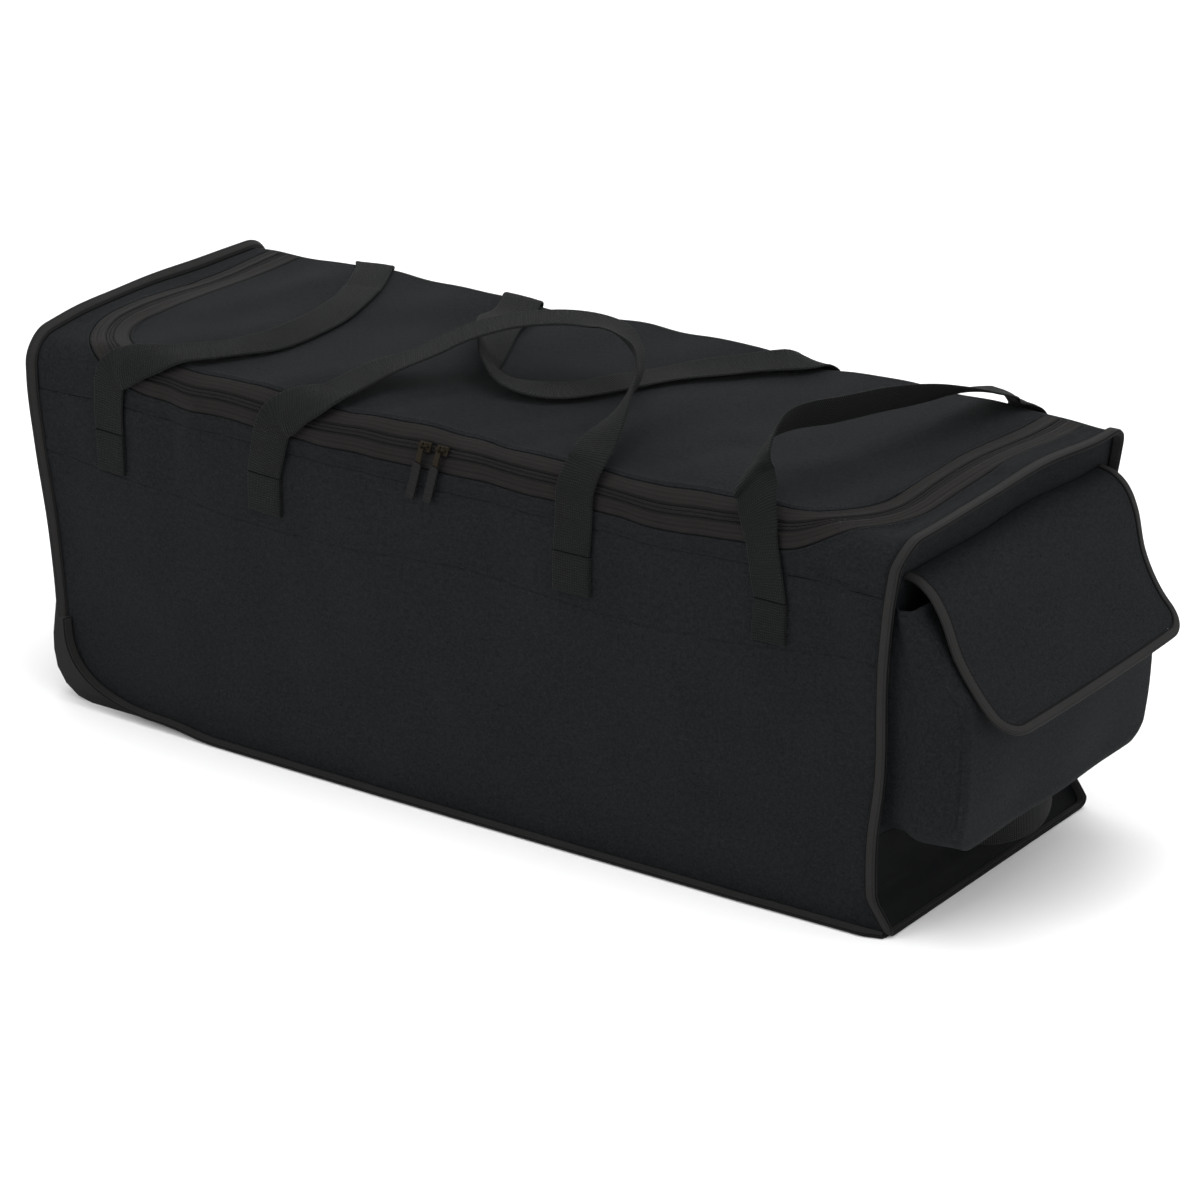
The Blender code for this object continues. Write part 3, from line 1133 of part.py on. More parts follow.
def main():
    for thing in list(bpy.data.objects):
        bpy.data.objects.remove(thing)
    for name in (BAG_NAME, "cutters"):
        bpy.context.scene.collection.children.link(bpy.data.collections.new(name))
    bag = bpy.data.objects.new(BAG_NAME, None)
    bpy.data.collections[BAG_NAME].objects.link(bag)
    cloth = make_material("woven_polyester", (0.012, 0.014, 0.018), 0.85)
    smooth_cloth = make_material("coated_polyester", (0.009, 0.010, 0.012), 0.55)
    tape = make_material("binding_tape", (0.045, 0.045, 0.047), 0.8)
    zip_tape = make_material("zip_tape", (0.035, 0.031, 0.030), 0.8)
    coil = make_material("zip_coil", (0.025, 0.022, 0.022), 0.45)
    webbing = make_material("webbing", (0.014, 0.015, 0.015), 0.8)
    bronze = make_material("bronze_metal", (0.16, 0.12, 0.09), 0.35, 1.0)
    rubber = make_material("black_rubber", (0.012, 0.012, 0.012), 0.7)
    plastic = make_material("black_plastic", (0.012, 0.012, 0.013), 0.45)
    steel = make_material("axle_steel", (0.5, 0.5, 0.5), 0.35, 1.0)
    make_side_panels(cloth)
    make_upper_band(cloth)
    make_lid(cloth)
    base = make_base(smooth_cloth)
    make_ends(cloth, smooth_cloth)
    make_end_bindings(tape)
    make_base_bindings(tape)
    make_zip(zip_tape, coil)
    make_carry_straps(webbing)
    make_end_handles(webbing)
    make_pocket(cloth)
    make_flap(cloth, tape)
    make_wheels(base, rubber, plastic, steel)
    make_slider("left", SLIDER_MIDDLE_X - SLIDER_PITCH / 2, bronze, rubber)
    make_slider("right", SLIDER_MIDDLE_X + SLIDER_PITCH / 2, bronze, rubber)


main()
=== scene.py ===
"""Looks of the wheeled cricket kit bag: padded cloth panels, bound seams, zip, webbing and stitching.

Metres, +Z up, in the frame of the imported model. Cloth pieces are laid out on a plain rounded box, as arrays
of points, and soften() then moves them to their places on the soft bag, creases included.
"""
import math

import bmesh
import bpy
import numpy as np
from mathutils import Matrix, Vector


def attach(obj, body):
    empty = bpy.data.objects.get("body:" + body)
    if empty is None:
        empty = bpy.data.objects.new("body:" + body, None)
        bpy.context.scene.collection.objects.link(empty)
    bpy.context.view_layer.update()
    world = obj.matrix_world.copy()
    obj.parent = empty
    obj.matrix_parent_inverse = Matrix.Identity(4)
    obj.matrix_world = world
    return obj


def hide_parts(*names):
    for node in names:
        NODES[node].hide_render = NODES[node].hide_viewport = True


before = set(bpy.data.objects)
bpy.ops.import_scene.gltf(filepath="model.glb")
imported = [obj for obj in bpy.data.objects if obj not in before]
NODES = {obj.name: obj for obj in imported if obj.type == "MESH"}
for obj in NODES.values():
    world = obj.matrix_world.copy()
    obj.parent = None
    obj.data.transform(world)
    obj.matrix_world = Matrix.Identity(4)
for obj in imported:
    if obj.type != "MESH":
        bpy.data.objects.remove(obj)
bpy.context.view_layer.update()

# Fabric body
BAG_LENGTH = 0.948
BAG_WIDTH = 0.338
BAG_HEIGHT = 0.362
FABRIC = 0.003
TOP_FRONT_RADIUS = 0.024
TOP_BACK_RADIUS = 0.020
CURL_RUN = 0.160
CURL_RISE = 0.086
CURL_SQUARENESS = 2.8
SEAM_GAP = 0.0004
END_CLEARANCE = 0.001

# How far the soft body departs from the plain box
SIDE_BELLY = 0.009
LID_RISE = 0.014
END_TOP_CROWN = -0.002
TOP_SAG = 0.003
BACK_LEAN = 0.008
BACK_RISE = 0.009
LEFT_TUCK = 0.025
RIGHT_TUCK = 0.022
END_CROWN = 0.010
RIGHT_FLARE = 0.018
FLARE_REACH = 0.100
FLARE_CENTRE = 0.92
TUCK_REACH = 0.220
SKID_LIFT = 0.006
SKID_LIFT_END = -0.262
SKID_LIFT_FADE = 0.070
BELLY_BY_HEIGHT = ((0.0, 0.55), (0.15, 0.80), (0.45, 1.0), (0.8, 0.5), (1.0, 0.10))
LEFT_TUCK_BY_HEIGHT = ((0.0, 1.0), (0.24, 0.97), (0.45, 0.72), (0.56, 0.58), (0.72, 0.34), (0.9, 0.03),
                       (1.0, 0.0))
RIGHT_TUCK_BY_HEIGHT = ((0.0, 0.0), (0.045, 0.4), (0.10, 0.95), (0.22, 1.0), (0.41, 0.78), (0.82, 0.45),
                        (0.94, 0.2), (1.0, 0.0))
LEFT_CROWN_BY_HEIGHT = ((0.0, 0.0), (0.3, 0.0), (0.6, 0.7), (0.8, 1.0), (1.0, 0.6))
RIGHT_CROWN_BY_HEIGHT = ((0.0, 0.0), (0.1, 0.12), (0.22, 0.2), (0.35, 0.3), (0.6, 0.7), (0.8, 1.0),
                         (1.0, 0.6))
LID_RISE_ALONG = ((-1.0, 0.25), (-0.85, 0.4), (-0.6, 0.72), (0.0, 0.72), (0.3, 0.92), (0.75, 1.0), (0.9, 0.9),
                  (1.0, 0.8))
BACK_RISE_ALONG = ((-1.0, 0.0), (-0.65, 0.1), (-0.45, 0.5), (-0.15, 0.25), (0.03, 0.85), (0.2, 1.0),
                   (0.3, 0.75), (0.42, 0.1), (0.8, 0.1), (1.0, 0.55))

# Zip and the band round it
ZIP_TAPE_WIDTH = 0.016
ZIP_COIL_WIDTH = 0.006
ZIP_TAPE_THICKNESS = 0.0014
ZIP_COIL_RISE = 0.0008
ZIP_EDGE_DROP = 0.030
ZIP_END_INSET = 0.041
ZIP_CORNER_RADIUS = 0.095
ZIP_GAP = 0.0008
UPPER_BAND_DEPTH = 0.018

# Bound seams
BINDING_REACH = 0.011
BINDING_THICKNESS = 0.005
BINDING_GAP = 0.0002
LEFT_BINDING_TILT = math.radians(35)
BASE_CORNER_RADIUS = 0.008
FLOOR_REACH_SHARE = 0.45
BASE_BINDING_TAPER = 0.018

# Webbing
HANDLE_WEBBING = 0.040
GRIP_WEBBING = 0.036
WEBBING_THICKNESS = 0.002
ANCHOR_HEIGHT = 0.038
ANCHOR_DROP = 0.026
STRAP_END_GAP = 0.001
WEBBING_CLEARANCE = 0.0020
LEFT_GRIP_X = -0.387
RIGHT_GRIP_X = 0.358
HANDLE_LEFT_X = -0.197
HANDLE_RIGHT_X = 0.148
BACK_ANCHOR_SHIFT = 0.036
LEFT_HANDLE_HEIGHT = 0.214
LEFT_HANDLE_WEBBING = 0.038
LEFT_HANDLE_BOW = 0.036
HAUL_WEBBING = 0.025
HAUL_HEIGHT = 0.066
HAUL_SHIFT = 0.030
HAUL_SPAN = 0.172
HAUL_BOW = 0.047
HAUL_DROOP = 0.020
HAUL_SWELL = 0.5
END_WEBBING_GAP = 0.0009
LEFT_HANDLE_DROOP = 0.004
LEFT_HANDLE_INSET = 0.004
LEFT_HANDLE_SWELL = 0.8

# End pocket
LOWER_BAND_HEIGHT = 0.084
POCKET_INSET = 0.008
POCKET_RISE = 0.006
POCKET_TOP_DROP = 0.058
POCKET_DEPTH = 0.086
POCKET_BELLY = 0.003
POCKET_SHIFT = -0.001
POCKET_CORNER = 0.024
POCKET_FABRIC = 0.0025
POCKET_SEAM = 0.0008
FLAP_NEAR_INSET = 0.014
FLAP_FAR_INSET = 0.006
FLAP_TILT = 0.012
FLAP_GAP = 0.001
FLAP_CREASE_DROP = 0.037
FLAP_OVERHANG = 0.031
FLAP_DROP = 0.1245
FLAP_FABRIC = 0.003
FLAP_CORNER = 0.028
FLAP_BINDING_WIDTH = 0.010
FLAP_BINDING_THICKNESS = 0.0046
FLAP_PROFILE = ((0.0, 0.0), (0.116, 0.027), (0.244, 0.111), (0.358, 0.259), (0.5, 0.526), (0.73, 0.79),
                (1.0, 1.0))
POCKET_DEPTH_BY_HEIGHT = ((0.0, 1.02), (0.2, 1.03), (0.5, 1.0), (0.64, 0.93), (0.74, 0.74), (0.8, 0.63),
                          (0.9, 0.45), (1.0, 0.28))

# Straps by station: along as a share of half the length, round as the place on the section, lift as a
# share of the height, twist in degrees
LEFT_GRIP_RUN = (
    (-0.813, 0.95, 0.001, 0), (-0.802, 1.15, 0.005, 0), (-0.777, 1.36, 0.009, 0), (-0.738, 1.65, 0.010, 0),
    (-0.700, 1.93, 0.010, 0), (-0.655, 2.055, 0.012, 2), (-0.606, 2.15, 0.010, 4), (-0.570, 2.27, 0.008, 8),
    (-0.556, 2.44, 0.006, 8), (-0.572, 2.62, 0.003, 7), (-0.615, 2.81, 0.0, 4), (-0.671, 2.98, 0.0, 0),
    (-0.702, 3.4, 0.0, 0), (-0.722, 3.8, 0.0, 0), (-0.736, 4.06, 0.0, 0),
)
RIGHT_GRIP_RUN = (
    (0.742, 0.93, 0.0, 0), (0.724, 1.15, 0.002, -4), (0.706, 1.58, 0.027, -20), (0.690, 1.83, 0.057, -34),
    (0.680, 1.98, 0.090, -46), (0.674, 2.07, 0.128, -56), (0.673, 2.13, 0.142, -58),
    (0.684, 2.22, 0.140, -58), (0.710, 2.34, 0.130, -58), (0.740, 2.50, 0.120, -56),
    (0.766, 2.64, 0.103, -48), (0.781, 2.77, 0.078, -30), (0.788, 2.90, 0.050, -8), (0.796, 3.0, 0.024, 0),
    (0.812, 3.4, 0.006, 0), (0.826, 4.0, 0.0, 0),
)
FRONT_HANDLE_RUN = (
    (-0.406, 0.92, 0.003, 180), (-0.390, 1.12, 0.005, 180), (-0.365, 1.42, 0.010, 180),
    (-0.334, 1.75, 0.013, 180), (-0.297, 2.02, 0.018, 180), (-0.257, 2.16, 0.034, 180),
    (-0.184, 2.26, 0.076, 180), (-0.124, 2.35, 0.121, 180), (-0.061, 2.445, 0.143, 180),
    (0.023, 2.53, 0.151, 180), (0.110, 2.54, 0.150, 172), (0.170, 2.49, 0.147, 152),
    (0.222, 2.42, 0.137, 126), (0.262, 2.35, 0.122, 96), (0.289, 2.26, 0.102, 70), (0.304, 2.16, 0.082, 46),
    (0.313, 2.06, 0.055, 16), (0.318, 1.86, 0.028, 0), (0.316, 1.5, 0.012, 0), (0.314, 0.95, 0.0, 0),
)
BACK_HANDLE_RUN = (
    (-0.334, 4.0, 0.0, 0), (-0.326, 3.5, 0.0, 0), (-0.308, 3.03, 0.003, 0), (-0.278, 2.90, 0.010, -6),
    (-0.238, 2.74, 0.024, -20), (-0.173, 2.56, 0.039, -42), (-0.120, 2.43, 0.046, -62),
    (-0.075, 2.36, 0.034, -42), (-0.017, 2.335, 0.016, -12), (0.050, 2.36, 0.010, 0),
    (0.107, 2.44, 0.007, 0), (0.150, 2.56, 0.005, 0), (0.205, 2.69, 0.006, 0), (0.253, 2.80, 0.008, 0),
    (0.310, 2.90, 0.010, 0), (0.366, 3.0, 0.008, 0), (0.382, 3.5, 0.002, 0), (0.388, 4.0, 0.0, 0),
)

# Creases of each face: start and end by the face's own two places on the plain box, width, and push
# along the face's outward direction
CREASES = {
    "front": (
        (-0.315, 0.345, -0.318, 0.262, 0.012, -0.0022), (-0.285, 0.335, -0.292, 0.290, 0.010, 0.0012),
        (-0.452, 0.330, -0.440, 0.250, 0.016, -0.0020), (-0.352, 0.300, -0.336, 0.205, 0.014, 0.0014),
        (-0.155, 0.335, -0.150, 0.235, 0.014, -0.0018), (-0.075, 0.335, -0.062, 0.285, 0.012, 0.0012),
        (0.052, 0.335, 0.060, 0.262, 0.014, -0.0016), (0.098, 0.330, 0.108, 0.240, 0.013, 0.0014),
        (0.198, 0.335, 0.205, 0.230, 0.014, -0.0020), (0.262, 0.335, 0.272, 0.282, 0.012, 0.0014),
        (0.405, 0.330, 0.430, 0.215, 0.016, -0.0028), (0.440, 0.330, 0.462, 0.255, 0.011, 0.0016),
        (-0.380, 0.240, -0.350, 0.130, 0.030, 0.0022), (-0.200, 0.240, -0.170, 0.140, 0.028, -0.0020),
        (0.150, 0.240, 0.190, 0.120, 0.030, -0.0022), (0.320, 0.235, 0.360, 0.100, 0.034, 0.0024),
        (0.180, 0.060, 0.330, 0.028, 0.024, 0.0022), (0.300, 0.080, 0.440, 0.052, 0.018, -0.0022),
        (-0.220, 0.045, -0.060, 0.030, 0.020, 0.0018), (-0.300, 0.075, -0.180, 0.060, 0.018, -0.0014),
    ),
    "top": (
        (-0.340, -0.150, -0.300, -0.060, 0.020, -0.0024), (-0.215, -0.145, -0.150, -0.070, 0.020, 0.0022),
        (-0.110, -0.148, -0.050, -0.090, 0.018, -0.0026), (-0.020, -0.148, 0.040, -0.060, 0.024, 0.0020),
        (0.060, -0.148, 0.110, -0.085, 0.018, -0.0022), (0.190, -0.148, 0.240, -0.060, 0.024, -0.0028),
        (0.270, -0.135, 0.330, -0.040, 0.026, 0.0022), (0.360, -0.110, 0.395, -0.010, 0.020, -0.0022),
        (-0.380, -0.030, -0.350, 0.090, 0.022, 0.0020), (-0.240, 0.020, -0.140, 0.110, 0.036, -0.0030),
        (0.060, 0.060, 0.200, 0.120, 0.036, -0.0026), (0.452, -0.140, 0.458, 0.010, 0.008, -0.0022),
        (0.462, 0.020, 0.455, 0.120, 0.008, 0.0016), (-0.462, -0.110, -0.456, 0.040, 0.008, -0.0016),
    ),
    "back": (
        (-0.300, 0.240, -0.260, 0.120, 0.030, -0.0024), (-0.060, 0.250, 0.000, 0.110, 0.034, 0.0026),
        (0.230, 0.240, 0.270, 0.120, 0.030, -0.0024), (0.100, 0.060, 0.300, 0.040, 0.024, 0.0020),
    ),
    "left": (
        (-0.090, 0.300, -0.050, 0.150, 0.024, -0.0022), (0.070, 0.310, 0.090, 0.160, 0.026, -0.0020),
    ),
    "right": (
        (-0.120, 0.075, -0.060, 0.030, 0.014, 0.0018), (0.040, 0.078, 0.110, 0.040, 0.016, -0.0016),
    ),
}

# Slow waves of each face: wave length along and up the face, phase, height
WAVES = {
    "front": ((0.310, 0.420, 0.4, 0.0012), (0.170, -0.260, 2.1, 0.0008), (0.083, 0.310, 4.0, 0.0005)),
    "back": ((0.290, 0.400, 1.4, 0.0014), (0.150, -0.240, 0.3, 0.0008)),
    "top": ((0.330, 0.300, 5.1, 0.0016), (0.140, -0.220, 1.1, 0.0010), (0.074, 0.190, 3.2, 0.0005)),
    "left": ((0.240, 0.300, 0.8, 0.0014), (0.110, -0.160, 2.6, 0.0007)),
    "right": ((0.260, 0.280, 1.8, 0.0012), (0.120, -0.150, 4.4, 0.0006)),
}
WAVE_DEPTH = 0.045
WAVE_FLOOR_FADE = 0.06

# Each face's axis, its direction outward, and the two axes along and up it; then its place on its axis
FACES = {"front": (1, -1, 0, 2), "back": (1, 1, 0, 2), "top": (2, 1, 0, 1), "left": (0, -1, 1, 2),
         "right": (0, 1, 1, 2)}
FACE_PLACE = {"front": -BAG_WIDTH / 2, "back": BAG_WIDTH / 2, "top": BAG_HEIGHT, "left": -BAG_LENGTH / 2,
              "right": BAG_LENGTH / 2}

# Sag of the front's top edge between the straps, by place along the bag
EDGE_SAG = ((-0.47, 0.0), (-0.39, 0.0020), (-0.29, -0.0022), (-0.20, -0.0012), (-0.08, -0.0032),
            (0.06, -0.0006), (0.15, 0.0008), (0.24, -0.0030), (0.34, 0.0016), (0.42, 0.0018), (0.47, 0.0))
EDGE_SAG_REACH = 0.045
ZIP_LINE_HEIGHT = 0.345

# Height of the thin seam along the front and back
MIDDLE_SEAM = ((-0.474, 0.252), (-0.37, 0.247), (-0.21, 0.235), (-0.11, 0.236), (0.02, 0.245), (0.13, 0.240),
               (0.22, 0.236), (0.35, 0.244), (0.474, 0.253))

# Folds, seams and hems of the cloth; a pair is the height and reach of a rounded ridge or groove
SEAM_MARGIN = 0.003
SEAM_GROOVE = (-0.0009, 0.0011)
SEAM_PUFF = (0.0007, 0.008)
EDGE_DIP = (-0.0008, 0.0022)
HEM_INSET = 0.003
HEM_RISE = (0.0011, 0.0028)
HEM_STITCH = 0.0032
HEM_STITCH_OUT = 0.0012
BAND_STITCH_RISE = 0.004
BAND_STITCH_END = 0.008
SEAM_STITCH_RISE = 0.0035
SEAM_STITCH_OUT = 0.0006
SEAM_STITCH_END = 0.006
ZIP_STITCHES_IN = (0.0030, 0.0066)
ZIP_STITCH_OUT = 0.0004
POCKET_LOW_EDGE = (0.003, 0.0035)
POCKET_SIDE_EDGE = (0.0026, 0.003)
POCKET_RIPPLE = (0.0012, 0.05)
POCKET_RIPPLE_RISE = 0.03
POCKET_WAVE = 0.0009
FLAP_PAD = 0.0010
FLAP_DENT = 0.0008
FLAP_STITCH = 0.002
BINDING_STITCH = 0.0086
BINDING_STITCH_SHARE = 0.44

# Sewn ends: margin of the stitches, and heights of edge, fullness and stitches in webbing thicknesses
SEWN_MARGIN = 0.005
SEWN_SECOND_ROW = 0.002
SEWN_EDGE = 1.3
SEWN_FULL = 0.8
SEWN_STITCH = 2.08
END_ANCHOR_LAYERS = 1.8

# Fineness of the pieces
CURL_STEPS = 34
STRAP_STEPS = 8
OUTWARD_STEP = 0.002
SHARP_ANGLE = math.radians(50)
THREAD_RADIUS = 0.00038
FINE_THREAD = 0.0003
STITCH_LOOK = 0.0005
STITCH_UV = 0.0004
STITCH_RING = ((1, 2), (2, 3), (3, 4), (4, 1))

# Distance from one face of a folded tape to the other on its UV map
FACE_STEP = 0.020

# Sizes that follow from those above
HALF_LENGTH = BAG_LENGTH / 2
HALF_WIDTH = BAG_WIDTH / 2
ZIP_BAND = 2 * ZIP_TAPE_WIDTH + ZIP_COIL_WIDTH
ZIP_LEG_X = HALF_LENGTH - ZIP_END_INSET
FRONT_ARC_START = BAG_HEIGHT - TOP_FRONT_RADIUS
TOP_START = FRONT_ARC_START + TOP_FRONT_RADIUS * math.pi / 2
HINGE_LINE = TOP_START + BAG_WIDTH - TOP_FRONT_RADIUS - TOP_BACK_RADIUS
BACK_FACE_START = HINGE_LINE + TOP_BACK_RADIUS * math.pi / 2
SECTION_END = BACK_FACE_START + BAG_HEIGHT - TOP_BACK_RADIUS
ZIP_RUN_LINE = BAG_HEIGHT - ZIP_EDGE_DROP + ZIP_BAND / 2
ZIP_CORNER_LINE = ZIP_RUN_LINE + ZIP_CORNER_RADIUS
ZIP_CORNER_X = ZIP_LEG_X - ZIP_CORNER_RADIUS
UPPER_SEAM = BAG_HEIGHT - ZIP_EDGE_DROP - UPPER_BAND_DEPTH
END_INSET = FABRIC + END_CLEARANCE

# Places that follow the bag's own edges
ANCHOR_TOP = UPPER_SEAM - ANCHOR_DROP
POCKET_WIDTH = BAG_WIDTH - 2 * POCKET_INSET
POCKET_BOTTOM = LOWER_BAND_HEIGHT + POCKET_RISE
POCKET_TOP = BAG_HEIGHT - POCKET_TOP_DROP
FLAP_WIDTH = POCKET_WIDTH - FLAP_NEAR_INSET - FLAP_FAR_INSET
FLAP_SHIFT = POCKET_SHIFT + (FLAP_NEAR_INSET - FLAP_FAR_INSET) / 2
FLAP_CREASE_HEIGHT = BAG_HEIGHT - FLAP_CREASE_DROP
FLAP_REACH = POCKET_DEPTH + FLAP_OVERHANG


def read_table(rows, at):
    """Smooth values at places in a table of (place, value) rows, never past the rows either side."""
    xs = np.array([row[0] for row in rows])
    ys = np.array([row[1] for row in rows])
    rates = np.diff(ys) / np.diff(xs)
    product = rates[:-1] * rates[1:]
    total = np.where(product > 0, rates[:-1] + rates[1:], 1.0)
    slopes = np.zeros(len(xs))
    slopes[1:-1] = np.where(product > 0, 2 * product / total, 0.0)
    at = np.clip(at, xs[0], xs[-1])
    i = np.clip(np.searchsorted(xs, at) - 1, 0, len(xs) - 2)
    span = xs[i + 1] - xs[i]
    t = (at - xs[i]) / span
    return (ys[i] * (1 + 2 * t) * (1 - t) ** 2 + span * slopes[i] * t * (1 - t) ** 2
            + ys[i + 1] * t * t * (3 - 2 * t) + span * slopes[i + 1] * t * t * (t - 1))


def ease(t):
    """Smooth rise from 0 to 1."""
    t = np.clip(t, 0.0, 1.0)
    return t * t * (3 - 2 * t)


def quarter(steps):
    """Angles from 0 to a right angle."""
    return np.linspace(0, math.pi / 2, steps)


def ridge(distance, shape):
    """Rounded ridge or groove, of (height, reach), at a distance from its middle."""
    height, reach = shape
    return height * np.exp(-(distance / reach) ** 2)


def unit(rows):
    """Directions of rows of vectors."""
    return rows / np.linalg.norm(rows, axis=-1)[..., None]


def reach_along(points):
    """Distance along a line of points, from 0 at its first."""
    steps = np.linalg.norm(np.diff(points, axis=0), axis=1)
    return np.concatenate([[0.0], np.cumsum(steps)])


def uv_places(along, across):
    """Distances along and across a piece, as its UV map."""
    return np.stack(np.broadcast_arrays(along, across), -1)


def mirrored(y, *others):
    """Half a line carried on by its mirror image in y; what goes with it is repeated."""
    return (np.concatenate([y, -y[-2::-1]]), *(np.concatenate([each, each[-2::-1]]) for each in others))


def rounded_span(low, high, low_corner, high_corner, turn_steps, steps):
    """Places from low to high, closer together at the rounded corners."""
    turn = 1 - np.cos(quarter(turn_steps))
    middle = np.linspace(low + low_corner, high - high_corner, steps)[1:-1]
    return np.concatenate([low + low_corner * turn, middle, (high - high_corner * turn)[::-1]])


def creases(p):
    """Movement of plain-box points by the creases, slow waves and the sag of the front's top edge."""
    moved = np.zeros_like(p)
    for face, rows in CREASES.items():
        axis, sign = FACES[face][:2]
        for start_u, start_v, end_u, end_v, width, push in rows:
            start = np.insert((start_u, start_v), axis, FACE_PLACE[face])
            end = np.insert((end_u, end_v), axis, FACE_PLACE[face])
            run = end - start
            t = np.clip(((p - start) @ run) / (run @ run), 0, 1)
            gap = np.linalg.norm(p - start - t[..., None] * run, axis=-1)
            moved[..., axis] += sign * ridge(gap, (push, width))
    for face, rows in WAVES.items():
        axis, sign, u, v = FACES[face]
        near = ridge(p[..., axis] - FACE_PLACE[face], (1.0, WAVE_DEPTH))
        fade = ease(p[..., 2] / WAVE_FLOOR_FADE) if axis < 2 else 1.0
        for wave_u, wave_v, phase, height in rows:
            turn = 2 * math.pi * (p[..., u] / wave_u + p[..., v] / wave_v) + phase
            moved[..., axis] += sign * height * near * np.sin(turn) * fade
    near_edge = ridge(p[..., 2] - ZIP_LINE_HEIGHT, (1.0, EDGE_SAG_REACH))
    near_edge = near_edge * ridge(p[..., 1] + HALF_WIDTH, (1.0, EDGE_SAG_REACH))
    moved[..., 2] += near_edge * read_table(EDGE_SAG, p[..., 0])
    return moved


def soften(points):
    """Moves points of the plain box to their places on the soft bag."""
    p = np.asarray(points, float)
    x, y, z = p[..., 0], p[..., 1], p[..., 2]
    along = np.clip(x / HALF_LENGTH, -1, 1)
    across = np.clip(y / HALF_WIDTH, -1, 1)
    height = np.clip(z / BAG_HEIGHT, 0, 1)
    middle = 1 - along ** 2
    near_left = ease(1 - (x + HALF_LENGTH) / TUCK_REACH)
    near_right = ease(1 - (HALF_LENGTH - x) / TUCK_REACH)
    new_y = y + across * SIDE_BELLY * middle * read_table(BELLY_BY_HEIGHT, height)
    new_y = new_y + BACK_LEAN * np.maximum(across, 0.0) * height ** 2
    lid_rise = LID_RISE * read_table(LID_RISE_ALONG, along) * (1 - ((1 - across) / 2) ** 4)
    end_top = END_TOP_CROWN * near_right * (1 - across ** 2)
    back_rise = BACK_RISE * read_table(BACK_RISE_ALONG, along) * np.maximum(across, 0.0) ** 3
    new_z = z + (lid_rise + end_top + back_rise - TOP_SAG * middle) * height ** 3
    skid = ease((SKID_LIFT_END - x) / SKID_LIFT_FADE)
    new_z = new_z + SKID_LIFT * skid * np.maximum(0.0, 1 - np.maximum(z, 0.0) / CURL_RISE)
    crown = END_CROWN * (1 - across ** 2)
    left_crown = crown * read_table(LEFT_CROWN_BY_HEIGHT, height)
    right_crown = crown * read_table(RIGHT_CROWN_BY_HEIGHT, height)
    new_x = x + near_left * (LEFT_TUCK * read_table(LEFT_TUCK_BY_HEIGHT, height) - left_crown)
    new_x = new_x - near_right * (RIGHT_TUCK * read_table(RIGHT_TUCK_BY_HEIGHT, height) - right_crown)
    from_corner = np.hypot(y - HALF_WIDTH, z - FLARE_CENTRE * BAG_HEIGHT)
    new_x = new_x + np.exp(-(from_corner / FLARE_REACH) ** 2) * near_right * RIGHT_FLARE
    return np.stack([new_x, new_y, new_z], -1) + creases(p)


def wrap(x, s, out=0.0):
    """Points of the plain box at x and arc length s round the section, moved outward by out."""
    x, s, out = np.broadcast_arrays(np.asarray(x, float), np.asarray(s, float), np.asarray(out, float))
    a = np.clip((s - FRONT_ARC_START) / TOP_FRONT_RADIUS, 0, math.pi / 2)
    b = np.clip((s - HINGE_LINE) / TOP_BACK_RADIUS, 0, math.pi / 2)
    y = -HALF_WIDTH + TOP_FRONT_RADIUS * (1 - np.cos(a)) + np.clip(s - TOP_START, 0, HINGE_LINE - TOP_START)
    y = y + TOP_BACK_RADIUS * np.sin(b)
    z = np.minimum(s, FRONT_ARC_START) + TOP_FRONT_RADIUS * np.sin(a)
    z = z - TOP_BACK_RADIUS * (1 - np.cos(b)) - np.maximum(s - BACK_FACE_START, 0)
    return np.stack([x, y - out * np.cos(a + b), z + out * np.sin(a + b)], -1)


def wrap_normal(s):
    """Outward direction of the plain box at arc length s."""
    s = np.asarray(s, float)
    turn = np.clip((s - FRONT_ARC_START) / TOP_FRONT_RADIUS, 0, math.pi / 2)
    turn = turn + np.clip((s - HINGE_LINE) / TOP_BACK_RADIUS, 0, math.pi / 2)
    return np.stack([np.zeros_like(turn), -np.cos(turn), np.sin(turn)], -1)


# Materials

# Length of one band of the wave texture at scale 1
WAVE_PERIOD = 0.314


def shader_of(name, colour, roughness, metallic=0.0, sheen=0.0, gloss=0.2):
    """New material with its Principled shader's plain values set on the sockets."""
    material = bpy.data.materials.new(name)
    material.use_nodes = True
    shader = material.node_tree.nodes["Principled BSDF"]
    shader.inputs["Base Color"].default_value = (*colour, 1.0)
    shader.inputs["Roughness"].default_value = roughness
    shader.inputs["Metallic"].default_value = metallic
    shader.inputs["Specular IOR Level"].default_value = gloss
    shader.inputs["Sheen Weight"].default_value = sheen
    shader.inputs["Sheen Roughness"].default_value = 0.5
    material.diffuse_color = (*colour, 1.0)
    return material, shader


def node(material, kind, **values):
    """Adds a shader node and sets its inputs by name."""
    made = material.node_tree.nodes.new(kind)
    for key, value in values.items():
        socket = made.inputs.get(key.replace("_", " "))
        if socket is None:
            setattr(made, key, value)
        else:
            socket.default_value = value
    return made


def link(material, out, into):
    """Joins two sockets."""
    material.node_tree.links.new(out, into)


def place(material, source, scale):
    """Coordinates from the UV map or the object, scaled alike on all axes."""
    coordinates = node(material, "ShaderNodeTexCoord")
    mapping = node(material, "ShaderNodeMapping", Scale=(scale,) * 3)
    link(material, coordinates.outputs[source], mapping.inputs["Vector"])
    return mapping.outputs["Vector"]


def threads(material, pitch, direction):
    """Rows of thread: a wave texture along X or Y of the UV map."""
    wave = node(material, "ShaderNodeTexWave", Scale=1.0, Distortion=0.0)
    wave.wave_type = "BANDS"
    wave.bands_direction = direction
    link(material, place(material, "UV", WAVE_PERIOD / pitch), wave.inputs["Vector"])
    return wave.outputs["Fac"]


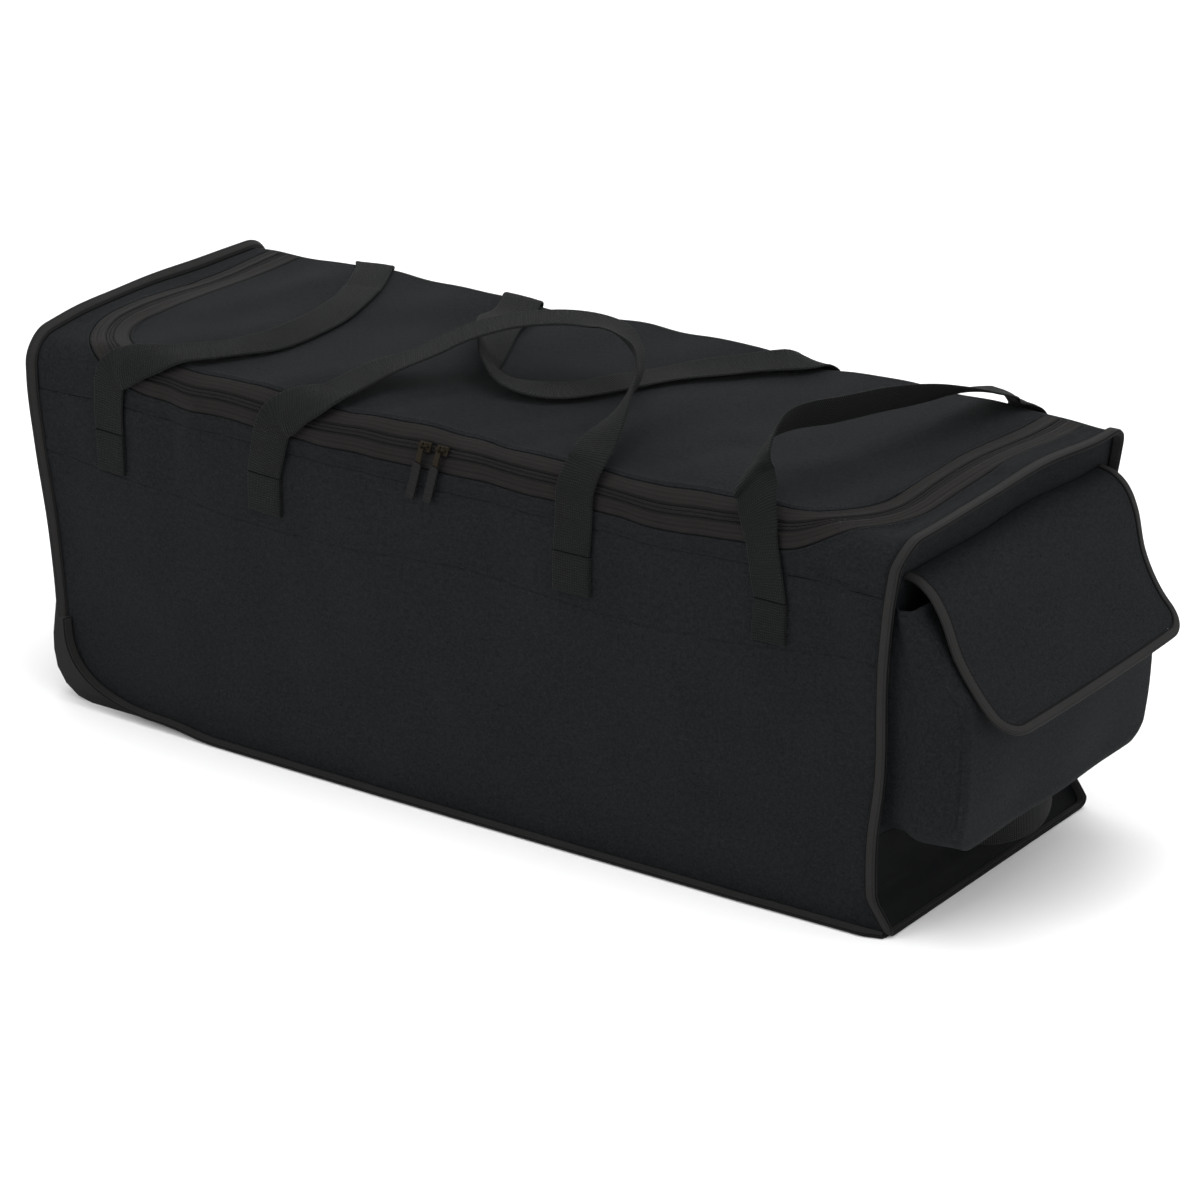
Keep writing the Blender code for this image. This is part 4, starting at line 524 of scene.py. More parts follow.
def mix_value(material, operation, a, b):
    """Result of a math node on two factors or numbers."""
    made = node(material, "ShaderNodeMath")
    made.operation = operation
    for socket, value in zip(made.inputs, (a, b)):
        if isinstance(value, (int, float)):
            socket.default_value = value
        else:
            link(material, value, socket)
    return made.outputs[0]


def colour_by(material, shader, factor, low, high):
    """Base colour from low to high by a factor."""
    ramp = node(material, "ShaderNodeValToRGB")
    ramp.color_ramp.elements[0].color = (*low, 1.0)
    ramp.color_ramp.elements[1].color = (*high, 1.0)
    link(material, factor, ramp.inputs["Fac"])
    link(material, ramp.outputs["Color"], shader.inputs["Base Color"])


def roughness_by(material, shader, factor, spread, low):
    """Roughness from low upward by a factor."""
    rough = mix_value(material, "MULTIPLY", factor, spread)
    link(material, mix_value(material, "ADD", rough, low), shader.inputs["Roughness"])


def add_bump(material, shader, height, strength, distance):
    """Bump on the shader from a height factor."""
    bump = node(material, "ShaderNodeBump", Strength=strength, Distance=distance)
    link(material, height, bump.inputs["Height"])
    link(material, bump.outputs["Normal"], shader.inputs["Normal"])


def noise(material, source, scale, detail=3.0, roughness=0.6):
    """Noise factor on the UV map or the object."""
    made = node(material, "ShaderNodeTexNoise", Scale=scale, Detail=detail, Roughness=roughness)
    link(material, place(material, source, 1.0), made.inputs["Vector"])
    return made.outputs["Fac"]


def blend_of(material, *parts):
    """Sum of factors, each with its weight."""
    total = None
    for weight, factor in parts:
        part = mix_value(material, "MULTIPLY", factor, weight)
        total = part if total is None else mix_value(material, "ADD", total, part)
    return total


def cloth_material(name, low, high, pitch, roughness, sheen, strength=0.5):
    """Plain weave with mottled yarns and faint rubbed patches."""
    material, shader = shader_of(name, high, roughness, sheen=sheen, gloss=0.05)
    weave = mix_value(material, "MULTIPLY", threads(material, pitch, "X"), threads(material, pitch, "Y"))
    grain = noise(material, "UV", 420.0, 2.0)
    patches = noise(material, "UV", 14.0, 4.0)
    slubs = noise(material, "UV", 190.0, 2.0)
    tone = blend_of(material, (1.3, grain), (0.2, weave), (0.4, patches), (0.7, slubs))
    colour_by(material, shader, mix_value(material, "SUBTRACT", tone, 0.75), low, high)
    roughness_by(material, shader, patches, 0.16, roughness - 0.08)
    add_bump(material, shader, blend_of(material, (1.0, weave), (1.2, grain)), strength, 0.0005)
    return material


def ribbed_material(name, low, high, pitch, roughness, strength):
    """Ribs across a tape, crossed by finer yarns, with a fine grain."""
    material, shader = shader_of(name, high, roughness, sheen=0.02, gloss=0.08)
    ribs = threads(material, pitch, "X")
    yarns = threads(material, pitch * 0.8, "Y")
    grain = noise(material, "UV", 600.0)
    wear = noise(material, "UV", 40.0)
    tone = blend_of(material, (0.35, ribs), (0.25, yarns), (0.30, grain), (0.25, wear))
    colour_by(material, shader, tone, low, high)
    add_bump(material, shader, blend_of(material, (1.0, ribs), (0.6, yarns)), strength, 0.0006)
    return material


def lines_and_edge_shade(material, stops):
    """Painted light and shade by distance across a tape in metres, from (distance, share) stops; both faces
    alike.
    """
    coordinates = node(material, "ShaderNodeTexCoord")
    parts = node(material, "ShaderNodeSeparateXYZ")
    link(material, coordinates.outputs["UV"], parts.inputs["Vector"])
    away = mix_value(material, "ABSOLUTE", parts.outputs["Y"], 0.0)
    scaled = mix_value(material, "DIVIDE", mix_value(material, "MODULO", away, FACE_STEP), FACE_STEP)
    made = node(material, "ShaderNodeValToRGB")
    elements = made.color_ramp.elements
    elements.remove(elements[1])
    elements[0].position = stops[0][0] / FACE_STEP
    elements[0].color = (*(stops[0][1],) * 3, 1.0)
    for distance, share in stops[1:]:
        elements.new(distance / FACE_STEP).color = (*(share,) * 3, 1.0)
    link(material, scaled, made.inputs["Fac"])
    return made.outputs["Color"]


def tape_with_lines_and_shade(name, low, high, stops, pitch, roughness):
    """Tape with painted shade at its edges and thin dark lines along it at given distances, and a close cross
    rib.
    """
    material, shader = shader_of(name, high, roughness, sheen=0.02, gloss=0.08)
    ribs = threads(material, pitch, "X")
    grain = noise(material, "UV", 600.0)
    wear = noise(material, "UV", 30.0)
    tone = blend_of(material, (0.35, grain), (0.30, wear), (0.35, ribs))
    # Painted shade at the tape's edges and its thin dark lines darken the tone
    lines = lines_and_edge_shade(material, stops)
    tone = mix_value(material, "MULTIPLY", mix_value(material, "ADD", tone, 0.35), lines)
    colour_by(material, shader, tone, low, high)
    add_bump(material, shader, blend_of(material, (0.5, ribs), (1.2, lines)), 0.5, 0.0005)
    return material


def moulded_material(name, colour, roughness, scale, strength):
    """Moulded plastic or rubber with a fine grain and paler scuffs."""
    material, shader = shader_of(name, colour, roughness, gloss=0.12)
    grain = noise(material, "Object", scale, 4.0, 0.5)
    scuffs = noise(material, "Object", 45.0, 6.0, 0.7)
    colour_by(material, shader, scuffs, colour, [2.2 * c for c in colour])
    roughness_by(material, shader, scuffs, 0.3, roughness - 0.15)
    add_bump(material, shader, grain, strength, 0.0004)
    return material


def metal_material(name, colour, roughness):
    """Cast metal with a dull, slightly uneven finish."""
    material, shader = shader_of(name, colour, roughness, metallic=1.0, gloss=0.5)
    blotches = noise(material, "Object", 320.0, 4.0, 0.5)
    colour_by(material, shader, blotches, [0.55 * c for c in colour], colour)
    roughness_by(material, shader, blotches, 0.3, roughness - 0.1)
    add_bump(material, shader, blotches, 0.15, 0.0002)
    return material


# Painted light and shade across the tapes: distance in metres, from the root or the zip's middle line, and
# share of light
# The binding is dark at its root and its rounded tip, painted shade where it meets the panel and where it
# turns away, with a thin dark line near its stitches
BINDING_SHADE_LINES = ((0.0, 0.0), (0.0014, 0.0), (0.0022, 1.0), (0.0076, 1.0), (0.0082, 0.6), (0.0088, 1.0),
                 (0.0099, 0.9), (0.0107, 0.0))
# The zip tape is dark next to the coil and at its outer edge, painted shade where it meets them, with two
# thin dark lines along its middle
ZIP_LINES_AND_SHADE = ((0.0, 0.1), (0.0050, 0.3), (0.0060, 0.9), (0.0086, 0.55), (0.0100, 1.0), (0.0125, 0.6),
             (0.0140, 1.0), (0.0172, 0.9), (0.0182, 0.0))
# Material of each soft slot
LOOKS = {
    "woven_polyester": cloth_material(
        "woven_polyester_look", (0.0022, 0.0028, 0.0031), (0.0124, 0.0140, 0.0155),
        pitch=0.0009, roughness=0.80, sheen=0.01),
    "coated_polyester": cloth_material(
        "coated_polyester_look", (0.0010, 0.0012, 0.0014), (0.0034, 0.0040, 0.0046),
        pitch=0.0007, roughness=0.60, sheen=0.0, strength=0.3),
    "binding_tape": tape_with_lines_and_shade(
        "binding_tape_look", (0.0008, 0.0008, 0.0008), (0.0172, 0.0164, 0.0160),
        BINDING_SHADE_LINES, pitch=0.0012, roughness=0.78),
    "zip_tape": tape_with_lines_and_shade(
        "zip_tape_look", (0.0012, 0.0010, 0.0010), (0.0112, 0.0099, 0.0094),
        ZIP_LINES_AND_SHADE, pitch=0.0011, roughness=0.72),
    "zip_coil": ribbed_material(
        "zip_coil_look", (0.0026, 0.0021, 0.0020), (0.0090, 0.0078, 0.0076),
        pitch=0.0016, roughness=0.6, strength=0.9),
    "webbing": ribbed_material(
        "webbing_look", (0.0010, 0.0012, 0.0012), (0.0064, 0.0071, 0.0073),
        pitch=0.0024, roughness=0.75, strength=1.0),
}
THREAD = ribbed_material("thread_look", (0.003, 0.0032, 0.0035), (0.011, 0.0115, 0.012),
                         pitch=0.0006, roughness=0.7, strength=0.5)
BRONZE = metal_material("bronze_look", (0.026, 0.021, 0.015), roughness=0.6)
STEEL = metal_material("axle_steel_look", (0.5, 0.5, 0.5), roughness=0.35)
RUBBER = moulded_material("black_rubber_look", (0.004, 0.004, 0.004),
                          roughness=0.75, scale=1400.0, strength=0.3)
PLASTIC = moulded_material("black_plastic_look", (0.004, 0.004, 0.0045),
                           roughness=0.50, scale=900.0, strength=0.25)


# Mesh pieces

def add_piece(name, points, faces, uv, slot, replaces=(), material=None):
    """Mesh piece from points, faces and one UV place for each point, in its slot's material."""
    mesh = bpy.data.meshes.new(name)
    mesh.from_pydata([tuple(p) for p in points], [], faces)
    layer = mesh.uv_layers.new(name="UVMap")
    corners = np.zeros(len(mesh.loops), int)
    mesh.loops.foreach_get("vertex_index", corners)
    layer.data.foreach_set("uv", np.asarray(uv, np.float32)[corners].ravel())
    mesh.materials.append(material or LOOKS[slot])
    bm = bmesh.new()
    bm.from_mesh(mesh)
    bmesh.ops.recalc_face_normals(bm, faces=bm.faces)
    bm.to_mesh(mesh)
    bm.free()
    mesh.shade_smooth()
    mesh.set_sharp_from_angle(angle=SHARP_ANGLE)
    thing = bpy.data.objects.new(name, mesh)
    bpy.context.scene.collection.objects.link(thing)
    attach(thing, "bag")
    if replaces:
        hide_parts(*replaces)
    return thing


def sheet_piece(name, outer, inner, uv, slot, replaces=()):
    """Closed sheet between two grids of points of one shape, padded where it has a fill."""
    rows, columns = outer.shape[:2]
    count = rows * columns
    top = np.arange(count).reshape(rows, columns)
    low = top + count
    faces = []
    for grid, order in ((top, 1), (low, -1)):
        quads = np.stack([grid[:-1, :-1], grid[1:, :-1], grid[1:, 1:], grid[:-1, 1:]], -1).reshape(-1, 4)
        faces += quads[:, ::order].tolist()
    rim = list(top[0, :]) + list(top[1:, -1]) + list(top[-1, -2::-1]) + list(top[-2:0:-1, 0])
    for a, b in zip(rim, rim[1:] + rim[:1]):
        faces.append((int(a), int(b), int(b) + count, int(a) + count))
    points = np.concatenate([outer.reshape(-1, 3), inner.reshape(-1, 3)])
    places = np.concatenate([uv.reshape(-1, 2)] * 2)
    piece = add_piece(name, points, faces, places, slot, replaces)


def tube_piece(name, rings, uv, slot, replaces=(), closed=False):
    """Closed skin through rings of points, capped at its ends unless it closes on itself."""
    count, around = rings.shape[:2]
    index = np.arange(count * around).reshape(count, around)
    following = np.roll(index, -1, axis=0) if closed else index[1:]
    first = index if closed else index[:-1]
    quads = np.stack([first, following, np.roll(following, -1, axis=1), np.roll(first, -1, axis=1)], -1)
    faces = quads.reshape(-1, 4).tolist()
    if not closed:
        faces += [index[0].tolist(), index[-1, ::-1].tolist()]
    add_piece(name, rings.reshape(-1, 3), faces, uv.reshape(-1, 2), slot, replaces)


def wrapped_piece(name, x, s, lift, replaces):
    """Padded cloth on the wrapped surface from grids of x and s, with its outer face at lift."""
    outer = soften(wrap(x, s, lift))
    inner = soften(wrap(x, s, np.minimum(lift, 0.0) - FABRIC))
    sheet_piece(name, outer, inner, np.stack([x, s], -1), "woven_polyester", replaces)


def stitches(name, lines, pitch=0.0036, length=0.0025, radius=THREAD_RADIUS):
    """Rows of stitches along softened lines, each a (points, outward) pair of arrays."""
    points, faces, places = [], [], []
    for line, outward in lines:
        reach = reach_along(line)
        spots = np.arange(pitch / 2, reach[-1], pitch)
        if len(spots) < 1:
            continue
        middle, ahead, behind = (np.stack([np.interp(spots + step, reach, line[:, k]) for k in range(3)], -1)
                                 for step in (0.0, STITCH_LOOK, -STITCH_LOOK))
        run = unit(ahead - behind)
        up = np.stack([np.interp(spots, reach, outward[:, k]) for k in range(3)], -1)
        up = unit(up - run * np.sum(up * run, axis=1)[:, None])
        side = np.cross(run, up)
        for m, r, u, w in zip(middle, run, up, side):
            base = len(points)
            points += [m - r * length / 2, m + w * radius, m + u * radius, m - w * radius, m - u * radius,
                       m + r * length / 2]
            faces += [(base, base + a, base + b) for a, b in STITCH_RING]
            faces += [(base + 5, base + b, base + a) for a, b in STITCH_RING]
            places += [(k * STITCH_UV, 0.0) for k in range(6)]
    add_piece(name, points, faces, places, "webbing", material=THREAD)


def line_on(x, s, out=0.0002):
    """Softened line on the wrapped surface with its outward directions."""
    base = soften(wrap(x, s, out))
    return base, soften(wrap(x, s, out + OUTWARD_STEP)) - base


# Fabric panels

def curl_line(turns):
    """Wheel-end curl at turns from 0 at its top to a quarter circle at the floor: x, z and outward."""
    power = 2 / CURL_SQUARENESS
    over = np.maximum(np.cos(turns), 0.0) ** power
    up = np.sin(turns) ** power
    normal = np.stack([-over ** (CURL_SQUARENESS - 1) / CURL_RUN, np.zeros_like(over),
                       -up ** (CURL_SQUARENESS - 1) / CURL_RISE], -1)
    return -HALF_LENGTH + CURL_RUN * (1 - over), CURL_RISE * (1 - up), unit(normal)


def side_grid():
    """Columns of x and rows of height on a side panel, with rows close together at its thin seam."""
    curl_x, curl_z = curl_line(quarter(CURL_STEPS))[:2]
    straight = np.linspace(curl_x[-1], HALF_LENGTH, 165)[1:]
    x = np.concatenate([curl_x, straight])
    low = np.concatenate([curl_z, np.zeros_like(straight)])
    seam = read_table(MIDDLE_SEAM, x)
    below, above = seam - SEAM_MARGIN, seam + SEAM_MARGIN
    rows = [low + (below - low) * t for t in np.linspace(0, 1, 44)]
    rows += [seam + SEAM_MARGIN * share for share in (-0.6, -0.3, 0.0, 0.3, 0.6)]
    rows += [above + (UPPER_SEAM - SEAM_GAP - above) * t for t in np.linspace(0, 1, 14)]
    heights = np.stack(rows, 1)
    from_seam = heights - seam[:, None]
    lift = ridge(from_seam, SEAM_GROOVE) + ridge(from_seam, SEAM_PUFF) + ridge(UPPER_SEAM - heights, EDGE_DIP)
    return np.broadcast_to(x[:, None], heights.shape), heights, lift


def make_side_panels():
    """Front panel, and back panel from the lid's hinge line down."""
    x, heights, lift = side_grid()
    wrapped_piece("front_cloth", x, heights, lift, ["front_panel"])
    over = np.broadcast_to(np.linspace(HINGE_LINE + SEAM_GAP, BACK_FACE_START, 12), (len(x), 12))
    back_x = np.concatenate([np.broadcast_to(x[:, :1], over.shape), x], 1)
    back_s = np.concatenate([over, SECTION_END - heights[:, ::-1]], 1)
    back_lift = np.concatenate([np.zeros(over.shape), lift[:, ::-1]], 1)
    wrapped_piece("back_cloth", back_x, back_s, back_lift, ["back_panel"])


def zip_line(leg=46, turn=26, run=150):
    """Middle line of the zip: x, s and outward directions in both, from the left leg round to the right."""
    down = np.linspace(HINGE_LINE, ZIP_CORNER_LINE, leg)[:-1]
    turns = quarter(turn)
    x = np.concatenate([np.full(len(down), ZIP_LEG_X), ZIP_CORNER_X + ZIP_CORNER_RADIUS * np.cos(turns)])
    s = np.concatenate([down, ZIP_CORNER_LINE - ZIP_CORNER_RADIUS * np.sin(turns)])
    out_x = np.concatenate([np.ones(len(down)), np.cos(turns)])
    out_s = np.concatenate([np.zeros(len(down)), -np.sin(turns)])
    front = np.linspace(-ZIP_CORNER_X, ZIP_CORNER_X, run)[1:-1]
    flat = np.zeros(len(front))
    return (np.concatenate([-x, front, x[::-1]]), np.concatenate([s, flat + ZIP_RUN_LINE, s[::-1]]),
            np.concatenate([-out_x, flat, out_x[::-1]]), np.concatenate([out_s, flat - 1, out_s[::-1]]))


# Share across a zip tape and its rise; then share of half the coil's width and of ZIP_COIL_RISE
ZIP_TAPE_SECTION = ((0.0, 0.0), (0.05, 0.0007), (0.16, 0.0010), (0.30, 0.0008), (0.45, 0.0003),
                    (0.60, 0.0002), (0.75, 0.0003), (0.88, 0.0003), (1.0, 0.0))
ZIP_COIL_SECTION = ((-1.0, 0.0), (-0.8, 0.5), (-0.5, 0.9), (-0.2, 0.6), (-0.06, 0.1), (0.0, -0.4),
                    (0.06, 0.1), (0.2, 0.6), (0.5, 0.9), (0.8, 0.5), (1.0, 0.0))


def zip_strip(name, offsets, lifts, slot, replaces):
    """Strip of the zip through offsets from its middle line, each with its own lift."""
    x, s, out_x, out_s = zip_line()
    grid_x = x[:, None] + out_x[:, None] * offsets
    grid_s = s[:, None] + out_s[:, None] * offsets
    outer = soften(wrap(grid_x, grid_s, lifts))
    inner = soften(wrap(grid_x, grid_s, -ZIP_TAPE_THICKNESS))
    uv = uv_places(reach_along(np.stack([x, s], -1))[:, None], offsets)
    sheet_piece(name, outer, inner, uv, slot, replaces)


def make_zip():
    """Two tapes, the coil between them, and the tapes' stitches."""
    half_coil = ZIP_COIL_WIDTH / 2
    half_band = ZIP_BAND / 2
    first = half_coil + SEAM_GAP
    shares, rises = np.array(ZIP_TAPE_SECTION).T
    offsets = first + (half_band - first) * shares
    zip_strip("zip_tape_outer_cloth", offsets, rises, "zip_tape", ["zip_tape_outer"])
    zip_strip("zip_tape_inner_cloth", -offsets, rises, "zip_tape", ["zip_tape_inner"])
    beads, bead_rises = np.array(ZIP_COIL_SECTION).T
    zip_strip("zip_coil_beads", half_coil * beads, bead_rises * ZIP_COIL_RISE, "zip_coil", ["zip_coil"])
    x, s, out_x, out_s = zip_line(20, 12, 60)
    outer_row, second_row = (half_band - inset for inset in ZIP_STITCHES_IN)
    lines = [line_on(x + out_x * offset, s + out_s * offset, ZIP_STITCH_OUT)
             for offset in (outer_row, second_row, -outer_row)]
    stitches("zip_stitches", lines, pitch=0.0030, length=0.0020, radius=FINE_THREAD)


def band_rim(leg, turn, run):
    """Outer edge of the upper band, one place for each place of the zip line."""
    down = np.linspace(HINGE_LINE, ZIP_CORNER_LINE, leg)[:-1]
    round_top = np.linspace(ZIP_CORNER_LINE, FRONT_ARC_START, turn - 6)
    to_corner = np.linspace(FRONT_ARC_START, UPPER_SEAM, 3)[1:]
    s = np.concatenate([down, round_top, to_corner, np.full(4, UPPER_SEAM)])
    along = np.linspace(HALF_LENGTH, ZIP_CORNER_X, 5)[1:]
    x = np.concatenate([np.full(len(s) - len(along), HALF_LENGTH), along])
    front = np.linspace(-ZIP_CORNER_X, ZIP_CORNER_X, run)[1:-1]
    flat = np.full(len(front), UPPER_SEAM)
    return np.concatenate([-x, front, x[::-1]]), np.concatenate([s, flat, s[::-1]])


# Places across the upper band, close together at its hem and its seam
BAND_SHARES = (0.0, 0.04, 0.10, 0.18, 0.30, 0.42, 0.55, 0.68, 0.80, 0.90, 0.96, 1.0)


def make_upper_band():
    """Band round the zip, with its stitches and those of the thin middle seam."""
    counts = (46, 26, 150)
    x, s, out_x, out_s = zip_line(*counts)
    edge = ZIP_BAND / 2 + ZIP_GAP
    near = np.stack([x + out_x * edge, s + out_s * edge], -1)
    span = np.stack(band_rim(*counts), -1) - near
    shares = np.array(BAND_SHARES)
    grid = near[:, None] + span[:, None] * shares[:, None]
    width = np.linalg.norm(span, axis=1)[:, None]
    lift = ridge(shares * width - HEM_INSET, HEM_RISE) + ridge((1 - shares) * width, EDGE_DIP)
    wrapped_piece("upper_band_cloth", grid[..., 0], grid[..., 1], lift, ["upper_band"])
    sewn = edge + HEM_STITCH
    run = np.linspace(BAND_STITCH_END - HALF_LENGTH, HALF_LENGTH - BAND_STITCH_END, 150)
    lines = [line_on(x + out_x * sewn, s + out_s * sewn, HEM_STITCH_OUT),
             line_on(run, UPPER_SEAM + BAND_STITCH_RISE)]
    stitches("upper_band_stitches", lines, pitch=0.0040)
    run = np.linspace(SEAM_STITCH_END - HALF_LENGTH, HALF_LENGTH - SEAM_STITCH_END, 150)
    above = read_table(MIDDLE_SEAM, run) + SEAM_STITCH_RISE
    lines = [line_on(run, line, SEAM_STITCH_OUT) for line in (above, SECTION_END - above)]
    stitches("middle_seam_stitches", lines, pitch=0.0042, radius=FINE_THREAD)


def make_lid():
    """Lid from the zip's inner edge to the hinge line."""
    edge = -ZIP_BAND / 2 - ZIP_GAP
    x, s, out_x, out_s = zip_line(46, 40, 150)
    keep = s <= ZIP_CORNER_LINE + SEAM_GAP
    x, s = (x + out_x * edge)[keep], (s + out_s * edge)[keep]
    shares = np.concatenate([[0.0, 0.006, 0.014, 0.024, 0.036], np.linspace(0.05, 1.0, 60)])
    span = (HINGE_LINE - s)[:, None]
    grid_x = np.broadcast_to(x[:, None], (len(x), len(shares)))
    lift = ridge(shares * span - HEM_INSET, HEM_RISE)
    wrapped_piece("lid_cloth", grid_x, s[:, None] + span * shares, lift, ["lid_panel"])
    x, s, out_x, out_s = zip_line(20, 14, 80)
    sewn = edge - HEM_STITCH
    stitches("lid_stitches", [line_on(x + out_x * sewn, s + out_s * sewn, HEM_STITCH_OUT)], pitch=0.0040)


def end_top(y):
    """Height of the end panels' edge at y, just inside the wrapped panels."""
    drop = 0.0
    for side, radius in ((-1, TOP_FRONT_RADIUS), (1, TOP_BACK_RADIUS)):
        radius = radius - END_INSET
        over = np.maximum(side * y - (HALF_WIDTH - END_INSET - radius), 0.0)
        drop = drop + radius - np.sqrt(np.maximum(radius ** 2 - over ** 2, 0.0))
    return BAG_HEIGHT - END_INSET - drop


def end_piece(name, side, low, high, slot, replaces):
    """End panel between a lower height and an upper height for each y."""
    half = HALF_WIDTH - END_INSET
    ys = rounded_span(-half, half, TOP_FRONT_RADIUS - END_INSET, TOP_BACK_RADIUS - END_INSET, 9, 56)
    high = np.broadcast_to(high if not callable(high) else high(ys), ys.shape)
    zs = low + (high - low)[:, None] * np.linspace(0, 1, 52)
    grid_y = np.broadcast_to(ys[:, None], zs.shape)
    flat = np.full_like(zs, side * HALF_LENGTH)
    outer = soften(np.stack([flat, grid_y, zs], -1))
    inner = soften(np.stack([flat - side * FABRIC, grid_y, zs], -1))
    sheet_piece(name, outer, inner, np.stack([grid_y, zs], -1), slot, replaces)


def make_ends():
    """Both end panels and the lower band at the pocket end."""
    low, split = CURL_RISE + SEAM_GAP, LOWER_BAND_HEIGHT
    end_piece("left_end_cloth", -1, low, end_top, "woven_polyester", ["left_end_panel"])
    end_piece("right_end_cloth", 1, split + SEAM_GAP, end_top, "woven_polyester", ["right_end_panel"])
    end_piece("right_end_lower_cloth", 1, 0.0, split, "coated_polyester", ["right_end_lower_band"])


def make_base():
    """Bottom panel, curling up at the wheel end."""
    curl_x, curl_z, curl_normal = curl_line(quarter(CURL_STEPS))
    flat_x = np.linspace(curl_x[-1], HALF_LENGTH - END_INSET, 120)[1:]
    x = np.concatenate([curl_x, flat_x])
    z = np.concatenate([curl_z, np.zeros_like(flat_x)])
    normal = np.concatenate([curl_normal, np.tile([0.0, 0.0, -1.0], (len(flat_x), 1))])
    y = np.linspace(END_INSET - HALF_WIDTH, HALF_WIDTH - END_INSET, 40)
    grid = np.stack(np.broadcast_arrays(x[:, None], y, z[:, None]), -1)
    inner = soften(grid - normal[:, None] * FABRIC)
    uv = uv_places(reach_along(np.stack([x, z], -1))[:, None], y)
    sheet_piece("base_cloth", soften(grid), inner, uv, "coated_polyester", ["base_panel"])


# Bound seams

# One face of a folded tape: share of its reach outward and of half its thickness
BINDING_SECTION = ((0.0, 0.75), (0.04, 1.0), (0.30, 1.0), (0.62, 0.94), (0.86, 0.80), (0.96, 0.55),
                   (1.0, 0.18))
BINDING_FACES = np.repeat([0.0, FACE_STEP], len(BINDING_SECTION))


def fin_piece(name, roots, outwards, sideways, closed=False, tilt=0.0):
    """Bound seam: folded tape with a rounded tip, its root cut along the panel's edge."""
    share, rise = np.array(BINDING_SECTION).T
    rise = rise * BINDING_THICKNESS / 2
    share = np.concatenate([share, share[::-1]])
    rise = np.concatenate([rise, -rise[::-1]])
    root = (BINDING_GAP + rise * math.sin(tilt)) / math.cos(tilt)
    reach = root + (BINDING_REACH - root) * share
    rings = soften(roots[:, None] + outwards[:, None] * reach[:, None] + sideways[:, None] * rise[:, None])
    uv = uv_places(reach_along(rings[:, 0])[:, None], reach + BINDING_FACES)
    tube_piece(name + "_tape", rings, uv, "binding_tape", [name], closed)
    out = BINDING_THICKNESS * BINDING_STITCH_SHARE
    lines = [(soften(roots + outwards * BINDING_STITCH + side * out), side) for side in (sideways, -sideways)]
    stitches(name + "_tape_stitches", lines, pitch=0.0034, length=0.0024, radius=FINE_THREAD)


def section_line(low):
    """Arc lengths from a height at the front over to the same height at the back."""
    arcs = [np.linspace(low, FRONT_ARC_START, 56), np.linspace(FRONT_ARC_START, TOP_START, 12)[1:],
            np.linspace(TOP_START, HINGE_LINE, 54)[1:], np.linspace(HINGE_LINE, BACK_FACE_START, 12)[1:],
            np.linspace(BACK_FACE_START, SECTION_END - low, 56)[1:]]
    return np.concatenate(arcs)


def make_end_bindings():
    """Bindings round both ends; the right one goes on under the bag and closes."""
    rest = BINDING_THICKNESS / 2 + SEAM_GAP
    for name, side, low, tilt in (("left_end_binding", -1, CURL_RISE + SEAM_GAP, LEFT_BINDING_TILT),
                                  ("right_end_binding", 1, rest + BASE_CORNER_RADIUS, 0.0)):
        s = section_line(low)
        roots = wrap(np.full_like(s, side * HALF_LENGTH), s)
        normals = wrap_normal(s)
        along = np.array([side, 0.0, 0.0])
        outwards = along * math.cos(tilt) + normals * math.sin(tilt)
        sideways = normals * math.cos(tilt) - along * math.sin(tilt)
        if side > 0:
            centre = HALF_WIDTH - BASE_CORNER_RADIUS
            turns = quarter(8)
            back = np.stack([np.zeros_like(turns), np.cos(turns), -np.sin(turns)], -1)
            front = (back * [0.0, -1.0, 1.0])[::-1]
            ys = np.linspace(centre, -centre, 50)[1:-1]
            floor = np.stack([np.full_like(ys, HALF_LENGTH), ys, np.full_like(ys, rest)], -1)
            corner = np.array([HALF_LENGTH, 0.0, low])
            across = np.array([0.0, centre, 0.0])
            back_roots, front_roots = (corner + across + back * BASE_CORNER_RADIUS,
                                       corner - across + front * BASE_CORNER_RADIUS)
            roots = np.concatenate([roots, back_roots[1:], floor, front_roots[:-1]])
            down = np.tile([0.0, 0.0, -1.0], (len(ys), 1))
            sideways = np.concatenate([sideways, back[1:], down, front[:-1]])
            low_share = np.maximum(0.0, -sideways[:, 2:])
            outwards = along * (1 - (1 - FLOOR_REACH_SHARE) * low_share)
        fin_piece(name, roots, outwards, sideways, side > 0, tilt)


def make_base_bindings():
    """Bindings along the front and back edges of the base."""
    rest = BINDING_THICKNESS / 2 + SEAM_GAP
    curl_x, curl_z, normal = curl_line(quarter(40))
    straight = np.linspace(curl_x[-1], HALF_LENGTH - SEAM_GAP, 150)[1:]
    near_end = np.clip((straight - HALF_LENGTH + BASE_BINDING_TAPER) / BASE_BINDING_TAPER, 0.0, 1.0)
    share = np.concatenate([np.ones_like(curl_x), 1 - (1 - FLOOR_REACH_SHARE) * near_end])
    sideways = np.concatenate([normal, np.tile([0.0, 0.0, -1.0], (len(straight), 1))])
    for name, side in (("front_base_binding", -1), ("back_base_binding", 1)):
        curl = np.stack([curl_x, np.full_like(curl_x, side * HALF_WIDTH), curl_z], -1) - normal * rest
        flat = np.stack(np.broadcast_arrays(straight, side * HALF_WIDTH, rest), -1)
        outwards = np.array([0.0, float(side), 0.0]) * share[:, None]
        fin_piece(name, np.concatenate([curl, flat]), outwards, sideways)


# Webbing

# Upper face of the webbing: shares across and through it, and then its whole ring
WEBBING_SECTION = ((-0.5, 0.0), (-0.487, 0.38), (-0.45, 0.55), (-0.38, 0.46), (-0.19, 0.5), (0.0, 0.5),
                   (0.19, 0.5), (0.38, 0.46), (0.45, 0.55), (0.487, 0.38), (0.5, 0.0))
WEBBING_RING = np.array([*WEBBING_SECTION, *((a, -b) for a, b in WEBBING_SECTION[-2:0:-1])])


